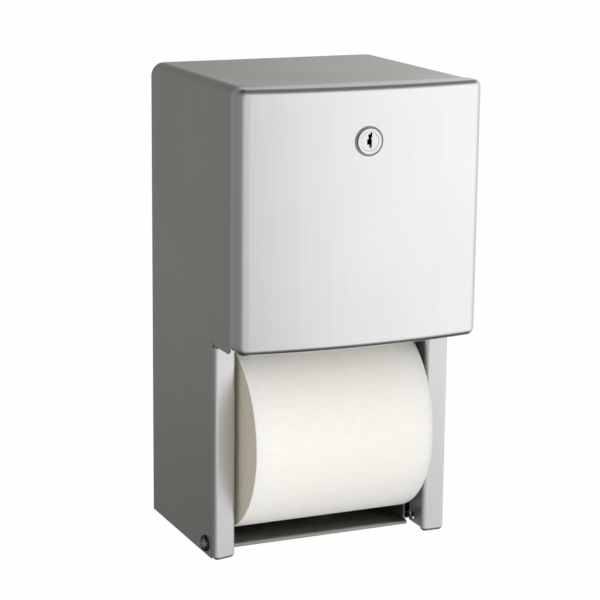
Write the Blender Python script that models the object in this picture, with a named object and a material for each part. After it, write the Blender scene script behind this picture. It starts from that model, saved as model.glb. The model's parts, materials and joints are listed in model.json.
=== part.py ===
"""Double roll toilet paper dispenser: wall cabinet, drop-front door, two rolls and the cams between them.

Frame, in metres: X to the right as seen from the front, Y towards the wall, Z up.
The origin is on the wall, on the centre line, in the middle of the back plate.
Dimensions are kept as widths (along X), depths out from the wall and heights above the cabinet's foot.
"""
import math

import bmesh
import bpy
from mathutils import Vector

# Cabinet
CABINET_WIDTH = 0.153
CABINET_HEIGHT = 0.285
CABINET_DEPTH_HIGH = 0.129
LOW_SIDE_SETBACK = 0.0265
STEP_ABOVE_ROLL = 0.002
STEP_RELIEF_RADIUS = 0.0014
STEP_CORNER_RADIUS = 0.004
SHEET = 0.0009
CABINET_BEND = 0.008

# Back plate
BACK_BEND = 0.0018
BACK_FLANGE_DEPTH = 0.012
BACK_FOOT_HEIGHT = 0.001
WALL_SLOT_RADIUS = 0.003
WALL_SLOT_LENGTH = 0.012
WALL_SLOT_FROM_SIDE = 0.0315
WALL_SLOT_LOW = 0.034
WALL_SLOT_BELOW_TOP = 0.036

# Floor plate
FLOOR_TOP = 0.0024
FLOOR_LIP_BEHIND_PIVOT = 0.004
FLOOR_LIP_TO_LEG = 0.0016
FLOOR_CORNER_BEHIND_PIVOT = 0.0095
FLOOR_LIP_BEND = 0.0014
FLOOR_REAR_FLANGE = 0.013
FLOOR_SIDE_FLANGE = 0.011
FLOOR_SIDE_FLANGE_BEHIND_PIVOT = 0.0125

# Spindle tracks
TRACK_SHEET = 0.0012
TRACK_BEHIND_PIVOT = 0.007
TRACK_BELOW_TOP = 0.0225
TRACK_FOOT = 0.0125
TRACK_FOOT_TO_SIDE_PLATE = 0.0014
TRACK_FOOT_REAR = 0.013
TRACK_BEND = 0.0024
TRACK_FLANGE_ABOVE_FLOOR_FLANGE = 0.0056
TRACK_CORNER = 0.008
TRACK_MOUTH_ABOVE_RESERVE = 0.0275
POCKET_AHEAD_OF_SHAFT = 0.0172
POCKET_BELOW_SHAFT = 0.0225
POCKET_RISE = 0.026
POCKET_BRANCH_RISE = 0.012
STUD_RADIUS = 0.0016
STUD_LENGTH = 0.0026
STUD_DISTANCE = 0.027

# Rolls, cores and spindles
ROLL_ABOVE_FLOOR = 0.0066
ROLL_TO_ROLL = 0.0135
ROLL_BELOW_TOP = 0.0196
ROLL_OFF_BACK = 0.0034
ROLL_BEHIND_DOOR = 0.0037
ROLL_END_PLAY = 0.0015
ROLL_EDGE = 0.0007
CORE_RADIUS = 0.021
CORE_WALL = 0.0009
CORE_INSET = 0.0003
SPINDLE_PLAY = 0.0004
SPINDLE_RIM_RISE = 0.0032
SPINDLE_RIM_WIDTH = 0.0035
SPINDLE_RIM_INSET = 0.004
SPINDLE_COLLAR_RADIUS = 0.009
SPINDLE_WAIST_DROP = 0.001
SPINDLE_WAIST_HALF_WIDTH = 0.006
JOURNAL_RADIUS = 0.005
JOURNAL_OVERHANG = 0.0047
JOURNAL_CHAMFER = 0.0008
JOURNAL_PLAY = 0.0003

# Cam shaft and cams
CAM_SHAFT_RADIUS = 0.0035
CAM_SHAFT_OVERHANG = 0.002
CAM_SHAFT_BELOW_RESERVE = 0.0395
CAM_OFF_BACK = 0.0005
CAM_THICKNESS = 0.002
CAM_HUB_WALL = 0.0034
CAM_HUB_LENGTH = 0.004
CAM_ROOT_MARGIN = 0.0012
CAM_NECK_SHARE = 0.8
CAM_HEAD_BELOW_JOURNAL_DEG = 6.5
CAM_HEAD_ABOVE_JOURNAL_DEG = 17.0
CAM_NECK_DEG = 5.0
CAM_ROOT_DEG = 42.0
CAM_ARC_STEPS = 8
FINGER_LENGTH = 0.024
FINGER_HALF_WIDTH = 0.0042
FINGER_ANGLE_DEG = 224.0
FINGER_ROOT_DEG = 38.0
CAM_SWING_DEG = 13.0
CAM_PIN_RADIUS = 0.001
CLIP_GROOVE_DROP = 0.0008
CLIP_GROOVE_WIDTH = 0.0013
CLIP_GROOVE_TO_HUB = 0.001
CLIP_WIDTH = 0.0007
CLIP_RIM = 0.0022
CLIP_MOUTH_SHARE = 0.8
BUSHING_WALL = 0.0012
BUSHING_FLANGE_RIM = 0.0016
BUSHING_FLANGE = 0.0008

# Door front panel
PANEL_ABOVE_STEP = 0.0015
PANEL_RETURN = 0.0125
PANEL_BOW = 0.0068
PANEL_EDGE_RADIUS = 0.0036
PANEL_CORNER_RADIUS = 0.005
PANEL_CORNER_STEPS = 6
PANEL_EDGE_STEPS = 5
PANEL_COLUMNS = 12

# Door legs
LEG_WIDTH = 0.0144
LEG_HEM = 0.003
LEG_EDGE_RADIUS = 0.0022
LEG_CORNER_RADIUS = 0.0026
LEG_CORNER_STEPS = 4
LEG_EDGE_STEPS = 3
LEG_FLANGE_BEHIND_PIVOT = 0.004
SIDE_PLATE_BEHIND_PIVOT = 0.0073
SIDE_PLATE_AHEAD_OF_LEG = 0.0015
SIDE_PLATE_IN_PANEL = 0.0072
SIDE_PLATE_BELOW_TOP = 0.019
SIDE_PLATE_CHAMFER = 0.006
SIDE_PLATE_FOOT = 0.0009

# Door cross rail
RAIL_AHEAD_OF_LEG = 0.002
RAIL_BEHIND_PANEL_EDGE = 0.0025
RAIL_FRONT_FLANGE = 0.008
RAIL_REAR_FLANGE = 0.0105
RAIL_BEND = 0.0018

# Door pivots
PIVOT_BEHIND_SIDE = 0.0115
PIVOT_HEIGHT = 0.0068
RIVET_RADIUS = 0.0024
RIVET_HEAD_RIM = 0.0026
RIVET_HEAD_HEIGHT = 0.0014
RIVET_TAIL_RIM = 0.0013
RIVET_TAIL_HEIGHT = 0.001
WASHER_RIM = 0.0018
WASHER_THICKNESS = 0.0006

# Lock
LOCK_BELOW_TOP = 0.031
LOCK_BARREL_RADIUS = 0.007
LOCK_BARREL_WALL = 0.0012
LOCK_BARREL_LENGTH = 0.0198
LOCK_FLANGE_RIM = 0.0016
LOCK_FLANGE_THICKNESS = 0.002
LOCK_FLANGE_CHAMFER = 0.0006
LOCK_PLUG_RECESS = 0.0002
KEYWAY_EDGE = 0.0006
KEYWAY_WIDTH = 0.0019
KEYWAY_DEPTH = 0.012
KEYWAY_LOW_STEP = 0.0001
KEYWAY_MIDDLE_STEP = -0.0004
KEYWAY_HIGH_STEP = 0.0003
KEYWAY_LOW_SHARE = -0.2
KEYWAY_HIGH_SHARE = 0.14
LOCK_TAIL_RADIUS = 0.0036
LOCK_NUT_RIM = 0.0038
LOCK_NUT_THICKNESS = 0.004
NUT_SIDES = 6
LOCK_PLATE_HALF_WIDTH = 0.015
LOCK_PLATE_HALF_HEIGHT = 0.0125
LOCK_PLATE_THICKNESS = 0.0012
TONGUE_THICKNESS = 0.002
TONGUE_HALF_WIDTH = 0.0062
TONGUE_LENGTH = 0.0215
TONGUE_NOSE = 0.003
SCREW_HEAD_RIM = 0.0005
SCREW_HEAD_HEIGHT = 0.0018
SCREW_RADIUS = 0.0015
SCREW_LENGTH = 0.006
SCREW_SLOT_WIDTH = 0.0009
SCREW_SLOT_DEPTH = 0.0008
STRIKE_SHEET = 0.0012
STRIKE_HALF_WIDTH = 0.021
STRIKE_BELOW_TOP = 0.0185
STRIKE_LENGTH = 0.0164
STRIKE_BEND = 0.0022

# Fits and finish
FIT_GAP = 0.0003
CUT_OVERRUN = 0.002
COARSE_STEPS = 24
FINE_STEPS = 32
ROLL_STEPS = 72
BEND_STEPS = 5
SMOOTH_ANGLE = math.radians(35)

# Radii that follow from what they fit
SPINDLE_RIM_RADIUS = CORE_RADIUS - CORE_WALL - SPINDLE_PLAY
SPINDLE_BODY_RADIUS = SPINDLE_RIM_RADIUS - SPINDLE_RIM_RISE
SPINDLE_WAIST_RADIUS = SPINDLE_BODY_RADIUS - SPINDLE_WAIST_DROP
CAM_HUB_RADIUS = CAM_SHAFT_RADIUS + FIT_GAP + CAM_HUB_WALL
CAM_ROOT_RADIUS = CAM_HUB_RADIUS + CAM_ROOT_MARGIN
CLIP_GROOVE_RADIUS = CAM_SHAFT_RADIUS - CLIP_GROOVE_DROP
CLIP_RADIUS = CAM_SHAFT_RADIUS + CLIP_RIM
BUSHING_RADIUS = CAM_SHAFT_RADIUS + FIT_GAP + BUSHING_WALL
BUSHING_FLANGE_RADIUS = BUSHING_RADIUS + BUSHING_FLANGE_RIM
RIVET_HEAD_RADIUS = RIVET_RADIUS + RIVET_HEAD_RIM
RIVET_TAIL_RADIUS = RIVET_RADIUS + RIVET_TAIL_RIM
WASHER_RADIUS = RIVET_RADIUS + FIT_GAP + WASHER_RIM
LOCK_FLANGE_RADIUS = LOCK_BARREL_RADIUS + LOCK_FLANGE_RIM
LOCK_PLUG_RADIUS = LOCK_BARREL_RADIUS - LOCK_BARREL_WALL - FIT_GAP
LOCK_NUT_RADIUS = LOCK_BARREL_RADIUS + LOCK_NUT_RIM
KEYWAY_HEIGHT = 2 * (LOCK_PLUG_RADIUS - KEYWAY_EDGE)
SCREW_HEAD_RADIUS = LOCK_TAIL_RADIUS + SCREW_HEAD_RIM

# The largest rolls that fit the cabinet, one above the other and behind the door
ROLL_ROOM_HIGH = CABINET_HEIGHT - SHEET - ROLL_BELOW_TOP - ROLL_TO_ROLL - ROLL_ABOVE_FLOOR - FLOOR_TOP
ROLL_ROOM_DEEP = CABINET_DEPTH_HIGH - SHEET - ROLL_OFF_BACK - ROLL_BEHIND_DOOR
ROLL_RADIUS = min(ROLL_ROOM_HIGH / 4, ROLL_ROOM_DEEP / 2)

# Widths, from the cabinet's outside in to the rolls
HALF_WIDTH = CABINET_WIDTH / 2
INNER_HALF_WIDTH = HALF_WIDTH - SHEET
LINER_HALF_WIDTH = INNER_HALF_WIDTH - FIT_GAP
SIDE_PLATE_INNER_X = LINER_HALF_WIDTH - SHEET
LEG_INNER_X = HALF_WIDTH - LEG_WIDTH
FLOOR_LIP_HALF_WIDTH = LEG_INNER_X - FLOOR_LIP_TO_LEG
WALL_SLOT_X = HALF_WIDTH - WALL_SLOT_FROM_SIDE
TRACK_FOOT_X = SIDE_PLATE_INNER_X - TRACK_FOOT_TO_SIDE_PLATE
TRACK_OUTER_X = TRACK_FOOT_X - TRACK_FOOT
TRACK_INNER_X = TRACK_OUTER_X - TRACK_SHEET
CAM_INNER_X = TRACK_OUTER_X + FIT_GAP
CAM_OUTER_X = CAM_INNER_X + CAM_THICKNESS
CAM_HUB_END = CAM_OUTER_X + CAM_HUB_LENGTH
CAM_PIN_X = CAM_OUTER_X + CAM_HUB_LENGTH / 2
CLIP_GROOVE_X = CAM_HUB_END + CLIP_GROOVE_TO_HUB
CAM_SHAFT_END = CLIP_GROOVE_X + CAM_SHAFT_OVERHANG
JOURNAL_END = TRACK_OUTER_X + JOURNAL_OVERHANG
ROLL_HALF_WIDTH = TRACK_INNER_X - ROLL_END_PLAY
CORE_HALF_WIDTH = ROLL_HALF_WIDTH - CORE_INSET
SPINDLE_RIM_OUTER = CORE_HALF_WIDTH - SPINDLE_RIM_INSET
SPINDLE_RIM_INNER = SPINDLE_RIM_OUTER - SPINDLE_RIM_WIDTH

# Heights above the foot
MOUNT_HEIGHT = CABINET_HEIGHT / 2
LOWER_ROLL_HEIGHT = FLOOR_TOP + ROLL_ABOVE_FLOOR + ROLL_RADIUS
RESERVE_ROLL_HEIGHT = CABINET_HEIGHT - SHEET - ROLL_BELOW_TOP - ROLL_RADIUS
WALL_SLOT_HIGH = CABINET_HEIGHT - WALL_SLOT_BELOW_TOP
TRACK_TOP = CABINET_HEIGHT - TRACK_BELOW_TOP
TRACK_REAR_FLANGE_LOW = FLOOR_TOP + FLOOR_REAR_FLANGE + TRACK_FLANGE_ABOVE_FLOOR_FLANGE
TRACK_MOUTH_HEIGHT = RESERVE_ROLL_HEIGHT + TRACK_MOUTH_ABOVE_RESERVE
CAM_SHAFT_HEIGHT = RESERVE_ROLL_HEIGHT - CAM_SHAFT_BELOW_RESERVE
POCKET_HEIGHT = CAM_SHAFT_HEIGHT - POCKET_BELOW_SHAFT
POCKET_TURN_HEIGHT = POCKET_HEIGHT - POCKET_RISE
POCKET_MOUTH_HEIGHT = POCKET_TURN_HEIGHT - POCKET_BRANCH_RISE
STEP_HEIGHT = LOWER_ROLL_HEIGHT + ROLL_RADIUS + STEP_ABOVE_ROLL
LEG_TOP = STEP_HEIGHT - FIT_GAP
PANEL_BOTTOM = STEP_HEIGHT + PANEL_ABOVE_STEP
RAIL_HEIGHT = PANEL_BOTTOM + SHEET + FIT_GAP
SIDE_PLATE_TOP = CABINET_HEIGHT - SIDE_PLATE_BELOW_TOP
LOCK_HEIGHT = CABINET_HEIGHT - LOCK_BELOW_TOP
STRIKE_BOTTOM = CABINET_HEIGHT - STRIKE_BELOW_TOP

# Depths out from the wall
ROLL_DEPTH = SHEET + ROLL_OFF_BACK + ROLL_RADIUS
CAM_SHAFT_DEPTH = SHEET + CAM_OFF_BACK + CAM_ROOT_RADIUS
POCKET_DEPTH = CAM_SHAFT_DEPTH + POCKET_AHEAD_OF_SHAFT
LOW_SIDE_DEPTH = CABINET_DEPTH_HIGH - LOW_SIDE_SETBACK
LEG_DEPTH = LOW_SIDE_DEPTH + FIT_GAP + LEG_HEM
PIVOT_DEPTH = LOW_SIDE_DEPTH - PIVOT_BEHIND_SIDE
FLOOR_LIP_DEPTH = PIVOT_DEPTH - FLOOR_LIP_BEHIND_PIVOT
FLOOR_CORNER_DEPTH = PIVOT_DEPTH - FLOOR_CORNER_BEHIND_PIVOT
FLOOR_SIDE_FLANGE_FRONT = PIVOT_DEPTH - FLOOR_SIDE_FLANGE_BEHIND_PIVOT
TRACK_FRONT = PIVOT_DEPTH - TRACK_BEHIND_PIVOT
LEG_FLANGE_REAR = PIVOT_DEPTH - LEG_FLANGE_BEHIND_PIVOT
SIDE_PLATE_REAR = PIVOT_DEPTH - SIDE_PLATE_BEHIND_PIVOT
SIDE_PLATE_UPPER_REAR = LEG_DEPTH + SIDE_PLATE_AHEAD_OF_LEG
SIDE_PLATE_FRONT = CABINET_DEPTH_HIGH + SIDE_PLATE_IN_PANEL
PANEL_EDGE_DEPTH = CABINET_DEPTH_HIGH + PANEL_RETURN
RAIL_REAR = LEG_DEPTH + RAIL_AHEAD_OF_LEG
RAIL_FRONT = PANEL_EDGE_DEPTH - RAIL_BEHIND_PANEL_EDGE
LOCK_FACE_DEPTH = PANEL_EDGE_DEPTH + PANEL_BOW
LOCK_BARREL_REAR = LOCK_FACE_DEPTH - LOCK_BARREL_LENGTH
TONGUE_FRONT = LOCK_BARREL_REAR - FIT_GAP
STRIKE_FRONT = TONGUE_FRONT + FIT_GAP + STRIKE_SHEET
STRIKE_REAR = STRIKE_FRONT - STRIKE_LENGTH
ORIGIN = Vector((0, 0, 0))


def point(x, depth, height):
    """World position of a place given by its width, its depth from the wall and its height."""
    return Vector((x, -depth, height - MOUNT_HEIGHT))


def material(name, colour, roughness, metallic):
    """A plain Principled material."""
    made = bpy.data.materials.new(name)
    made.use_nodes = True
    shader = made.node_tree.nodes["Principled BSDF"]
    shader.inputs["Base Color"].default_value = (*colour, 1)
    shader.inputs["Roughness"].default_value = roughness
    shader.inputs["Metallic"].default_value = metallic
    return made


def make_object(name, bm, colour=None, pivot=ORIGIN):
    """Turn a bmesh in world coordinates into an object whose origin is its pivot."""
    bmesh.ops.translate(bm, verts=bm.verts, vec=-pivot)
    bmesh.ops.recalc_face_normals(bm, faces=bm.faces)
    mesh = bpy.data.meshes.new(name)
    bm.to_mesh(mesh)
    bm.free()
    mesh.shade_smooth()
    mesh.set_sharp_from_angle(angle=SMOOTH_ANGLE)
    if colour:
        mesh.materials.append(colour)
    made = bpy.data.objects.new(name, mesh)
    made.location = pivot
    bpy.context.scene.collection.objects.link(made)
    return made


def boolean(target, tools, operation):
    """Join pieces to the target, or cut them from it, and remove them."""
    bpy.context.view_layer.objects.active = target
    for tool in tools:
        modifier = target.modifiers.new(operation.title(), "BOOLEAN")
        modifier.operation = operation
        modifier.object = tool
        bpy.ops.object.modifier_apply(modifier=modifier.name)
        bpy.data.objects.remove(tool)
    target.data.shade_smooth()
    target.data.set_sharp_from_angle(angle=SMOOTH_ANGLE)
    return target


def cut(target, *tools):
    """Take the tools' volumes out of the target."""
    return boolean(target, tools, "DIFFERENCE")


def join(target, *tools):
    """Make one solid of the target and the tools."""
    return boolean(target, tools, "UNION")


def extrude(outline, plane, start, end, name="tool", colour=None, pivot=ORIGIN):
    """Extrude an outline: plane is the two coordinates the outline is drawn in."""
    bm = bmesh.new()
    places = {
        "depth-height": lambda u, v: point(start, u, v),
        "x-height": lambda u, v: point(u, start, v),
        "x-depth": lambda u, v: point(u, v, start),
    }
    travel = {
        "depth-height": Vector((end - start, 0, 0)),
        "x-height": Vector((0, start - end, 0)),
        "x-depth": Vector((0, 0, end - start)),
    }
    face = bm.faces.new([bm.verts.new(places[plane](u, v)) for u, v in outline])
    grown = bmesh.ops.extrude_face_region(bm, geom=[face])
    moved = [item for item in grown["geom"] if isinstance(item, bmesh.types.BMVert)]
    bmesh.ops.translate(bm, verts=moved, vec=travel[plane])
    return make_object(name, bm, colour, pivot)


def block(x_range, depth_range, height_range, name="tool", colour=None, pivot=ORIGIN):
    """A plain block between two widths, two depths and two heights."""
    (near, far), (low, high) = depth_range, height_range
    outline = [(near, low), (far, low), (far, high), (near, high)]
    return extrude(outline, "depth-height", x_range[0], x_range[1], name, colour, pivot)


def circle(centre, radius, steps=COARSE_STEPS):
    """Points of a circle in an outline's plane, with a flat to each side."""
    turns = [2 * math.pi * (step + 1 / 2) / steps for step in range(steps)]
    return [(centre[0] + radius * math.cos(turn), centre[1] + radius * math.sin(turn)) for turn in turns]


def stadium(first, last, radius, steps=COARSE_STEPS):
    """Outline of a slot with round ends between two centres."""
    heading = math.atan2(last[1] - first[1], last[0] - first[0])
    outline = []
    for centre, turned in ((last, -math.pi / 2), (first, math.pi / 2)):
        for step in range(steps // 2 + 1):
            angle = heading + turned + math.pi * step / (steps // 2)
            outline.append((centre[0] + radius * math.cos(angle), centre[1] + radius * math.sin(angle)))
    return outline


def bent_sheet(path, thickness, radii):
    """Outline of a folded sheet.

    The path is one face of the sheet, which lies on the path's left; radii gives each inner
    corner's outer bend radius, and zero leaves that corner sharp.
    """
    outer = [Vector(place) for place in path]
    headings = [(b - a).normalized() for a, b in zip(outer, outer[1:])]
    lefts = [Vector((-heading.y, heading.x)) for heading in headings]
    inner = [outer[0] + lefts[0] * thickness]
    for index in range(1, len(outer) - 1):
        before, after = lefts[index - 1], lefts[index]
        inner.append(outer[index] + (before + after) * thickness / (1 + before.dot(after)))
    inner.append(outer[-1] + lefts[-1] * thickness)
    face_side = [outer[0]]
    back_side = [inner[0]]
    for index in range(1, len(outer) - 1):
        radius = radii[index - 1]
        turn = headings[index - 1].cross(headings[index])
        if not radius:
            face_side.append(outer[index])
            back_side.append(inner[index])
            continue
        face_radius = radius if turn > 0 else radius - thickness
        back_radius = radius - thickness if turn > 0 else radius
        face_side += fillet(outer[index], headings[index - 1], headings[index], face_radius)
        back_side += fillet(inner[index], headings[index - 1], headings[index], back_radius)
    face_side.append(outer[-1])
    back_side.append(inner[-1])
    return [tuple(place) for place in face_side + back_side[::-1]]


def fillet(corner, heading_in, heading_out, radius):
    """Arc that rounds a corner between two headings."""
    turn = math.atan2(heading_in.cross(heading_out), heading_in.dot(heading_out))
    reach = radius * math.tan(abs(turn) / 2)
    start = corner - heading_in * reach
    side = math.copysign(1, turn)
    centre = start + Vector((-heading_in.y, heading_in.x)) * radius * side
    arm = start - centre
    places = []
    for step in range(BEND_STEPS + 1):
        angle = turn * step / BEND_STEPS
        places.append(centre + Vector((
            arm.x * math.cos(angle) - arm.y * math.sin(angle),
            arm.x * math.sin(angle) + arm.y * math.cos(angle),
        )))
    return places


def turned(profile, along, centre, steps, name="tool", colour=None, pivot=ORIGIN, closed=False):
    """Spin a profile of (position, radius) pairs about an axis.

    along "x" spins about a width-wise axis through a (depth, height) centre, and along "depth"
    about a front-to-back axis through an (x, height) centre.
    """
    bm = bmesh.new()
    if along == "x":
        places = [point(place, centre[0], centre[1]) + Vector((0, 0, radius)) for place, radius in profile]
        middle, axis = point(0, centre[0], centre[1]), Vector((1, 0, 0))
    else:
        places = [point(centre[0], place, centre[1]) + Vector((0, 0, radius)) for place, radius in profile]
        middle, axis = point(centre[0], 0, centre[1]), Vector((0, 1, 0))
    verts = [bm.verts.new(place) for place in places]
    edges = [bm.edges.new(pair) for pair in zip(verts, verts[1:])]
    if closed:
        edges.append(bm.edges.new((verts[-1], verts[0])))
    bmesh.ops.spin(bm, geom=verts + edges, cent=middle, axis=axis, angle=2 * math.pi, steps=steps,
                   use_merge=True)
    bmesh.ops.remove_doubles(bm, verts=bm.verts, dist=FIT_GAP / COARSE_STEPS)
    return make_object(name, bm, colour, pivot)


def panel_depth(x, edge_depth, bow):
    """Depth of the bowed front at a width."""
    return edge_depth + bow * (1 - (x / HALF_WIDTH) ** 2)


def pan_outline(sides, inset, corner, corner_steps, columns):
    """Rounded outline of a pan as its lower and upper points, which share their widths."""
    left, right, bottom, top = sides
    radius = corner - inset
    inner_left, inner_right = left + corner, right - corner
    low, high = bottom + corner, top - corner
    stations = []
    for step in range(corner_steps + 1):
        angle = math.pi / 2 * step / corner_steps
        stations.append((inner_left - radius * math.cos(angle), radius * math.sin(angle)))
    for column in range(1, columns):
        stations.append((inner_left + (inner_right - inner_left) * column / columns, radius))
    for step in range(corner_steps + 1):
        angle = math.pi / 2 * (1 - step / corner_steps)
        stations.append((inner_right + radius * math.cos(angle), radius * math.sin(angle)))
    return [(x, low - rise) for x, rise in stations], [(x, high + rise) for x, rise in stations]


def pan(name, colour, pivot, sides, rear, front, edge_radius, corner, corner_steps, edge_steps, columns):
    """A drawn sheet pan, open at the back: flat or bowed front, rounded edges and straight returns.

    front is the pair (edge depth, bow).
    """
    bm = bmesh.new()

    def ring(inset, drop):
        lower, upper = pan_outline(sides, inset, corner, corner_steps, columns)
        if drop is None:
            return [bm.verts.new(point(x, rear, height)) for x, height in lower + upper[::-1]]
        places = [point(x, panel_depth(x, *front) - drop, height) for x, height in lower + upper[::-1]]
        return [bm.verts.new(place) for place in places]

    def skin(first, last):
        for index in range(len(first)):
            following = (index + 1) % len(first)
            bm.faces.new((first[index], first[following], last[following], last[index]))

    def cap(loop):
        half = len(loop) // 2
        for index in range(half - 1):
            bm.faces.new((loop[index], loop[index + 1], loop[-index - 2], loop[-index - 1]))

    rims = []
    for thickness in (0, SHEET):
        radius = edge_radius - thickness
        loops = [ring(thickness, None)]
        for step in range(edge_steps + 1):
            angle = math.pi / 2 * step / edge_steps
            inset = thickness + radius * (1 - math.cos(angle))
            loops.append(ring(inset, edge_radius - radius * math.sin(angle)))
        for first, last in zip(loops, loops[1:]):
            skin(first, last)
        cap(loops[-1])
        rims.append(loops[0])
    skin(*rims)
    return make_object(name, bm, colour, pivot)


def mirrored(pieces, name):
    """The same piece on the cabinet's other side, as its own object."""
    bm = bmesh.new()
    bm.from_mesh(pieces.data)
    bmesh.ops.translate(bm, verts=bm.verts, vec=pieces.location)
    bmesh.ops.scale(bm, verts=bm.verts, vec=(-1, 1, 1))
    pivot = Vector((-pieces.location.x, pieces.location.y, pieces.location.z))
    return make_object(name, bm, pieces.data.materials[0], pivot)


for old in list(bpy.data.objects):
    bpy.data.objects.remove(old)

STAINLESS = material("satin stainless steel", (0.56, 0.56, 0.55), 0.32, 1)
GALVANISED = material("galvanised steel", (0.47, 0.48, 0.49), 0.45, 1)
CAM_STEEL = material("plain stainless steel", (0.5, 0.5, 0.5), 0.28, 1)
CHROME = material("chromed lock metal", (0.7, 0.7, 0.7), 0.12, 1)
ABS = material("grey moulded plastic", (0.24, 0.25, 0.26), 0.42, 0)
NYLON = material("white plastic", (0.72, 0.71, 0.67), 0.45, 0)
CARD = material("cardboard", (0.36, 0.25, 0.15), 0.85, 0)
PAPER = material("white tissue paper", (0.87, 0.85, 0.81), 0.95, 0)

# Cabinet shell: one sheet folded over the top and down both sides, cut back below the door panel
shell_path = [(HALF_WIDTH, 0), (HALF_WIDTH, CABINET_HEIGHT), (-HALF_WIDTH, CABINET_HEIGHT), (-HALF_WIDTH, 0)]
shell = extrude(bent_sheet(shell_path, SHEET, (CABINET_BEND, CABINET_BEND)), "x-height", 0,
                CABINET_DEPTH_HIGH, "cabinet_shell", STAINLESS)
outside = HALF_WIDTH + CUT_OVERRUN
pivot_centre = (PIVOT_DEPTH, PIVOT_HEIGHT)
corner_radius = LOW_SIDE_DEPTH - PIVOT_DEPTH
corner_turn = math.asin(PIVOT_HEIGHT / corner_radius)
corner_cut = [(LOW_SIDE_DEPTH + CUT_OVERRUN, -CUT_OVERRUN), (LOW_SIDE_DEPTH + CUT_OVERRUN, PIVOT_HEIGHT)]
for step in range(BEND_STEPS + 1):
    angle = corner_turn * step / BEND_STEPS
    corner_cut.append((PIVOT_DEPTH + corner_radius * math.cos(angle),
                       PIVOT_HEIGHT - corner_radius * math.sin(angle)))
corner_cut.append((PIVOT_DEPTH + corner_radius * math.cos(corner_turn), -CUT_OVERRUN))
step_corner_centre = (CABINET_DEPTH_HIGH - STEP_CORNER_RADIUS, STEP_HEIGHT + STEP_CORNER_RADIUS)
step_corner_cut = [(CABINET_DEPTH_HIGH + CUT_OVERRUN, STEP_HEIGHT - CUT_OVERRUN),
                   (CABINET_DEPTH_HIGH + CUT_OVERRUN, step_corner_centre[1])]
for step in range(BEND_STEPS + 1):
    angle = math.pi / 2 * step / BEND_STEPS
    step_corner_cut.append((step_corner_centre[0] + STEP_CORNER_RADIUS * math.cos(angle),
                            step_corner_centre[1] - STEP_CORNER_RADIUS * math.sin(angle)))
step_corner_cut.append((step_corner_centre[0], STEP_HEIGHT - CUT_OVERRUN))
low_front = (LOW_SIDE_DEPTH, CABINET_DEPTH_HIGH + CUT_OVERRUN)
cut(
    shell,
    block((-outside, outside), low_front, (-CUT_OVERRUN, STEP_HEIGHT)),
    extrude(corner_cut, "depth-height", -outside, outside),
    extrude(step_corner_cut, "depth-height", -outside, outside),
    extrude(circle((LOW_SIDE_DEPTH, STEP_HEIGHT), STEP_RELIEF_RADIUS), "depth-height", -outside, outside),
    extrude(circle(pivot_centre, RIVET_RADIUS + FIT_GAP), "depth-height", -outside, outside),
)

# Back plate: a flat sheet with side flanges and four upright wall slots
back_path = [(LINER_HALF_WIDTH, BACK_FLANGE_DEPTH), (LINER_HALF_WIDTH, 0), (-LINER_HALF_WIDTH, 0),
             (-LINER_HALF_WIDTH, BACK_FLANGE_DEPTH)]
back_top = CABINET_HEIGHT - SHEET - FIT_GAP
back = extrude(bent_sheet(back_path[::-1], SHEET, (BACK_BEND, BACK_BEND)), "x-depth", BACK_FOOT_HEIGHT,
               back_top, "back_plate", STAINLESS)
for side in (-1, 1):
    corner_x = side * (LINER_HALF_WIDTH - CABINET_BEND)
    corner_height = back_top - CABINET_BEND
    back_corner = [(side * outside, corner_height), (side * outside, back_top + CUT_OVERRUN),
                   (corner_x, back_top + CUT_OVERRUN), (corner_x, back_top),
                   (side * LINER_HALF_WIDTH, corner_height)]
    cut(back, extrude(back_corner, "x-height", -CUT_OVERRUN, BACK_FLANGE_DEPTH + CUT_OVERRUN))
    for slot_height in (WALL_SLOT_LOW, WALL_SLOT_HIGH):
        reach = WALL_SLOT_LENGTH / 2 - WALL_SLOT_RADIUS
        slot = stadium((side * WALL_SLOT_X, slot_height - reach), (side * WALL_SLOT_X, slot_height + reach),
                       WALL_SLOT_RADIUS)
        cut(back, extrude(slot, "x-height", -CUT_OVERRUN, SHEET + CUT_OVERRUN))

# Floor plate: rear flange up the back plate, front lip turned down, front corners cut back for the door legs
floor_rear = SHEET + FIT_GAP
floor_path = [(floor_rear, FLOOR_TOP + FLOOR_REAR_FLANGE), (floor_rear, FLOOR_TOP - SHEET),
              (FLOOR_LIP_DEPTH - SHEET, FLOOR_TOP - SHEET), (FLOOR_LIP_DEPTH - SHEET, 0)]
floor = extrude(bent_sheet(floor_path, SHEET, (BACK_BEND, FLOOR_LIP_BEND)), "depth-height", -LINER_HALF_WIDTH,
                LINER_HALF_WIDTH, "floor_plate", STAINLESS)
for side in (-1, 1):
    corner_x = sorted((side * FLOOR_LIP_HALF_WIDTH, side * outside))
    cut(floor, block(corner_x, (FLOOR_CORNER_DEPTH, FLOOR_LIP_DEPTH + CUT_OVERRUN),
                     (-CUT_OVERRUN, FLOOR_TOP + CUT_OVERRUN)))
    notch_x = sorted((side * (SIDE_PLATE_INNER_X - FIT_GAP), side * outside))
    cut(floor, block(notch_x, (0, BACK_FLANGE_DEPTH + FIT_GAP),
                     (-CUT_OVERRUN, FLOOR_TOP + FLOOR_REAR_FLANGE + CUT_OVERRUN)))
    flange_x = sorted((side * LINER_HALF_WIDTH, side * SIDE_PLATE_INNER_X))
    join(floor, block(flange_x, (BACK_FLANGE_DEPTH + FIT_GAP, FLOOR_SIDE_FLANGE_FRONT),
                      (FLOOR_TOP - SHEET, FLOOR_TOP + FLOOR_SIDE_FLANGE)))

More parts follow.
